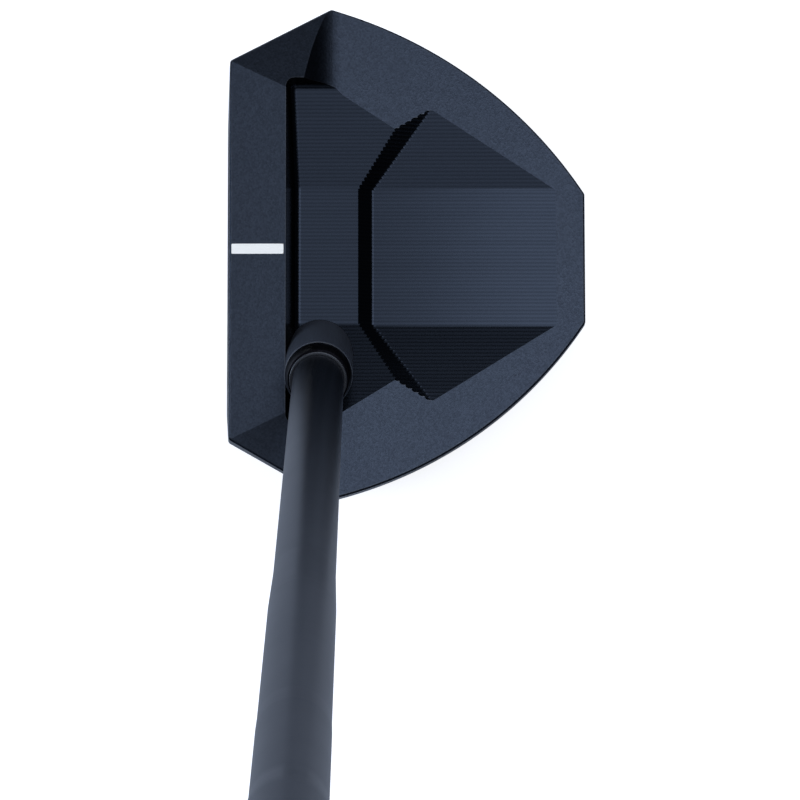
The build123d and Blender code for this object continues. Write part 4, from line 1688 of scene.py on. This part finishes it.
# ---- Studio ----------------------------------------------------------------------------
@dataclass(frozen=True)
class SoftBox:
    """A rectangular studio light, in metres and watts, aimed at the head."""

    name: str
    place: Point3
    size: tuple[float, float]
    power: float
    tint: Colour = (1.0, 1.0, 1.0)

    def build(self) -> None:
        """Adds the light to the scene."""
        lamp = bpy.data.lights.new(self.name, "AREA")
        lamp.shape = "RECTANGLE"
        lamp.size, lamp.size_y = self.size
        lamp.energy = self.power
        lamp.color = self.tint
        holder = linked(self.name, lamp)
        holder.location = self.place
        holder.rotation_euler = (-Vector(self.place)).to_track_quat("-Z", "Y").to_euler()


@dataclass(frozen=True)
class Studio:
    """Floor, world, lights and camera, in metres."""

    camera_place: Point3 = (-0.001184, -0.15277, 0.8503)
    camera_pitch: float = 8.549
    camera_roll: float = -0.086
    focal_length: float = 202.41
    sensor: float = 36.0
    floor_size: float = 60.0
    floor_drop: float = 0.0003
    floor_glow: float = 0.8
    floor_tint: tuple[float, float, float, float] = (0.44, 0.49, 0.6, 1.0)
    room_tint: tuple[float, float, float, float] = (0.9, 0.94, 1.0, 1.0)
    room_strength: float = 0.05
    boxes: tuple[SoftBox, ...] = (
        SoftBox("overhead_box", (1.05, 0.3, 2.9), (0.95, 1.3), 13.0, (0.96, 0.98, 1.0)),
        SoftBox("wide_box", (0.3, 0.25, 3.0), (2.4, 2.5), 40.0, (0.96, 0.98, 1.0)),
        SoftBox("left_strip", (-1.3, 0.1, 0.75), (0.4, 1.4), 16.0, (0.84, 0.92, 1.0)),
        SoftBox("heel_box", (0.2, -1.5, 0.8), (1.6, 0.9), 3.5),
        SoftBox("toe_box", (0.2, 1.5, 0.8), (1.6, 0.9), 3.5),
    )

    def build_camera(self) -> None:
        """Adds the camera, looking down past the grip as a player does."""
        pitch, roll = math.radians(self.camera_pitch), math.radians(self.camera_roll)
        view = Vector((0, math.sin(pitch), -math.cos(pitch)))
        right, up = Vector((1, 0, 0)), Vector((0, math.cos(pitch), math.sin(pitch)))
        turned_right = math.cos(roll) * right + math.sin(roll) * up
        turned_up = -math.sin(roll) * right + math.cos(roll) * up
        camera = bpy.data.cameras.new("player_view")
        camera.lens = self.focal_length
        camera.sensor_width = self.sensor
        camera.clip_start = 0.01
        camera.clip_end = 50
        holder = linked("player_view", camera)
        pose = Matrix((turned_right, turned_up, -view)).transposed().to_4x4()
        pose.translation = self.camera_place
        holder.matrix_world = pose
        bpy.context.scene.camera = holder

    def build_floor(self) -> None:
        """Adds the pale floor, which glows enough to be seen as a bright sweep."""
        half = self.floor_size / 2
        corners = [(half * a, half * b, -self.floor_drop) for a, b in QUARTERS]
        floor = mesh_object("floor", corners, [(0, 1, 2, 3)])
        material = bpy.data.materials.new("pale_sweep")
        material.use_nodes = True
        wiring = Wiring(material.node_tree)
        nodes = material.node_tree.nodes
        matt = nodes["Principled BSDF"]
        matt.inputs["Base Color"].default_value = self.floor_tint
        matt.inputs["Roughness"].default_value = 0.9
        matt.inputs["Specular IOR Level"].default_value = 0.0
        glow = wiring.add("ShaderNodeEmission", {"Color": (1, 1, 1, 1), "Strength": self.floor_glow})
        seen = wiring.add("ShaderNodeAddShader", {0: matt.outputs[0], 1: glow.outputs[0]})
        wiring.show_camera(matt.outputs[0], seen.outputs[0], nodes["Material Output"])
        dress(floor, material)

    def build_world(self) -> None:
        """Dark surroundings that the camera sees as pale."""
        world = bpy.data.worlds.new("studio")
        world.use_nodes = True
        bpy.context.scene.world = world
        wiring = Wiring(world.node_tree)
        nodes = world.node_tree.nodes
        dark = nodes["Background"]
        dark.inputs["Color"].default_value = self.room_tint
        dark.inputs["Strength"].default_value = self.room_strength
        pale = wiring.add("ShaderNodeBackground", {"Color": (1, 1, 1, 1), "Strength": 1.0})
        wiring.show_camera(dark.outputs[0], pale.outputs[0], nodes["World Output"])

    def build(self) -> None:
        """Adds the whole studio."""
        self.build_camera()
        self.build_floor()
        self.build_world()
        for box in self.boxes:
            box.build()
        bpy.context.scene.view_settings.view_transform = "Standard"


# ---- Putter ----------------------------------------------------------------------------
class Putter:
    """The whole club, from its sub-assemblies."""

    def __init__(self) -> None:
        """Sets up the sub-assemblies and the materials."""
        self.line = ShaftLine()
        self.shop = Workshop(self.line)
        self.head = Head()
        self.sight = SightLine(self.head)
        self.insert = FaceInsert(self.head)
        self.sole = Sole(self.head)
        self.hosel = Hosel(self.line)
        self.shaft = Shaft(self.line)
        self.grip = Grip(self.line)

    def build_head(self) -> None:
        """Builds the head body and what is set in its top and face."""
        material = self.shop.material
        recesses = self.sole.seats() + [self.insert.seat(), self.sight.seat(), self.hosel.seat()]
        body = self.head.build(material(BLASTED_BLACK), material(MILLED_BLACK), recesses)
        finish_piece(body, "head_body", sharp=12)
        finish_piece(self.sight.build(material(SIGHT_WHITE)), "sight_line")
        insert = self.insert.build(grooves_tree(), material(INSERT_BLACK))
        finish_piece(insert, "face_insert")

    def build_sole(self) -> None:
        """Builds the sole plate, its screws and the weights."""
        material = self.shop.material
        finish_piece(self.sole.build_plate(material(SOLE_BLACK)), "sole_plate")
        screws = self.sole.build_screws(copies_tree(), material(SCREW_BLACK))
        finish_piece(screws, "sole_screws")
        for side, node in ((-1, "heel_weight"), (1, "toe_weight")):
            foot = (self.sole.weight_x * MM, side * self.sole.weight_y * MM, 0.0)
            weight = self.sole.build_weight(side, material(TURNED_METAL, foot))
            finish_piece(weight, node)

    def build_shaft(self) -> None:
        """Builds the collar, the ferrule, the trim ring and the shaft."""
        material = self.shop.material
        pieces = (
            (self.hosel.build_collar, COLLAR_BLACK, "hosel_collar", "collar_satin"),
            (self.hosel.build_ferrule, FERRULE_BLACK, "ferrule", "ferrule_black"),
            (self.hosel.build_ring, TRIM_METAL, "trim_ring", "trim_metal"),
            (self.shaft.build, SHAFT_BLACK, "shaft", "shaft_satin"),
        )
        for build, finish, node, slot in pieces:
            finish_piece(build(material(finish)), node)

    def build_grip(self) -> None:
        """Builds the grip's skin with its pips, the cap and the butt weight."""
        material = self.shop.material
        finish_piece(self.grip.build_skin(material(GRIP_RUBBER)), "grip_skin", sharp=50)
        finish_piece(self.grip.build_pips(pips_tree(), material(GRIP_PIPS)), "grip_skin")
        finish_piece(self.grip.build_cap(material(CAP_PLASTIC)), "grip_cap")
        finish_piece(self.grip.build_butt_weight(material(TURNED_METAL)), "butt_weight")

    def dress_carried_over(self) -> None:
        """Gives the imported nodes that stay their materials."""
        for node, finish in CARRIED_OVER.items():
            dress(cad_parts[node], self.shop.material(finish))
            LOG.info("%s: carried over, %s", node, finish.name)

    def build(self) -> None:
        """Builds every sub-assembly in order."""
        self.build_head()
        self.build_sole()
        self.build_shaft()
        self.build_grip()
        self.dress_carried_over()


def main() -> None:
    """Builds the studio and the putter."""
    logging.basicConfig(level=logging.INFO, format="%(name)s: %(message)s")
    Studio().build()
    Putter().build()


if __name__ == "__main__":
    main()
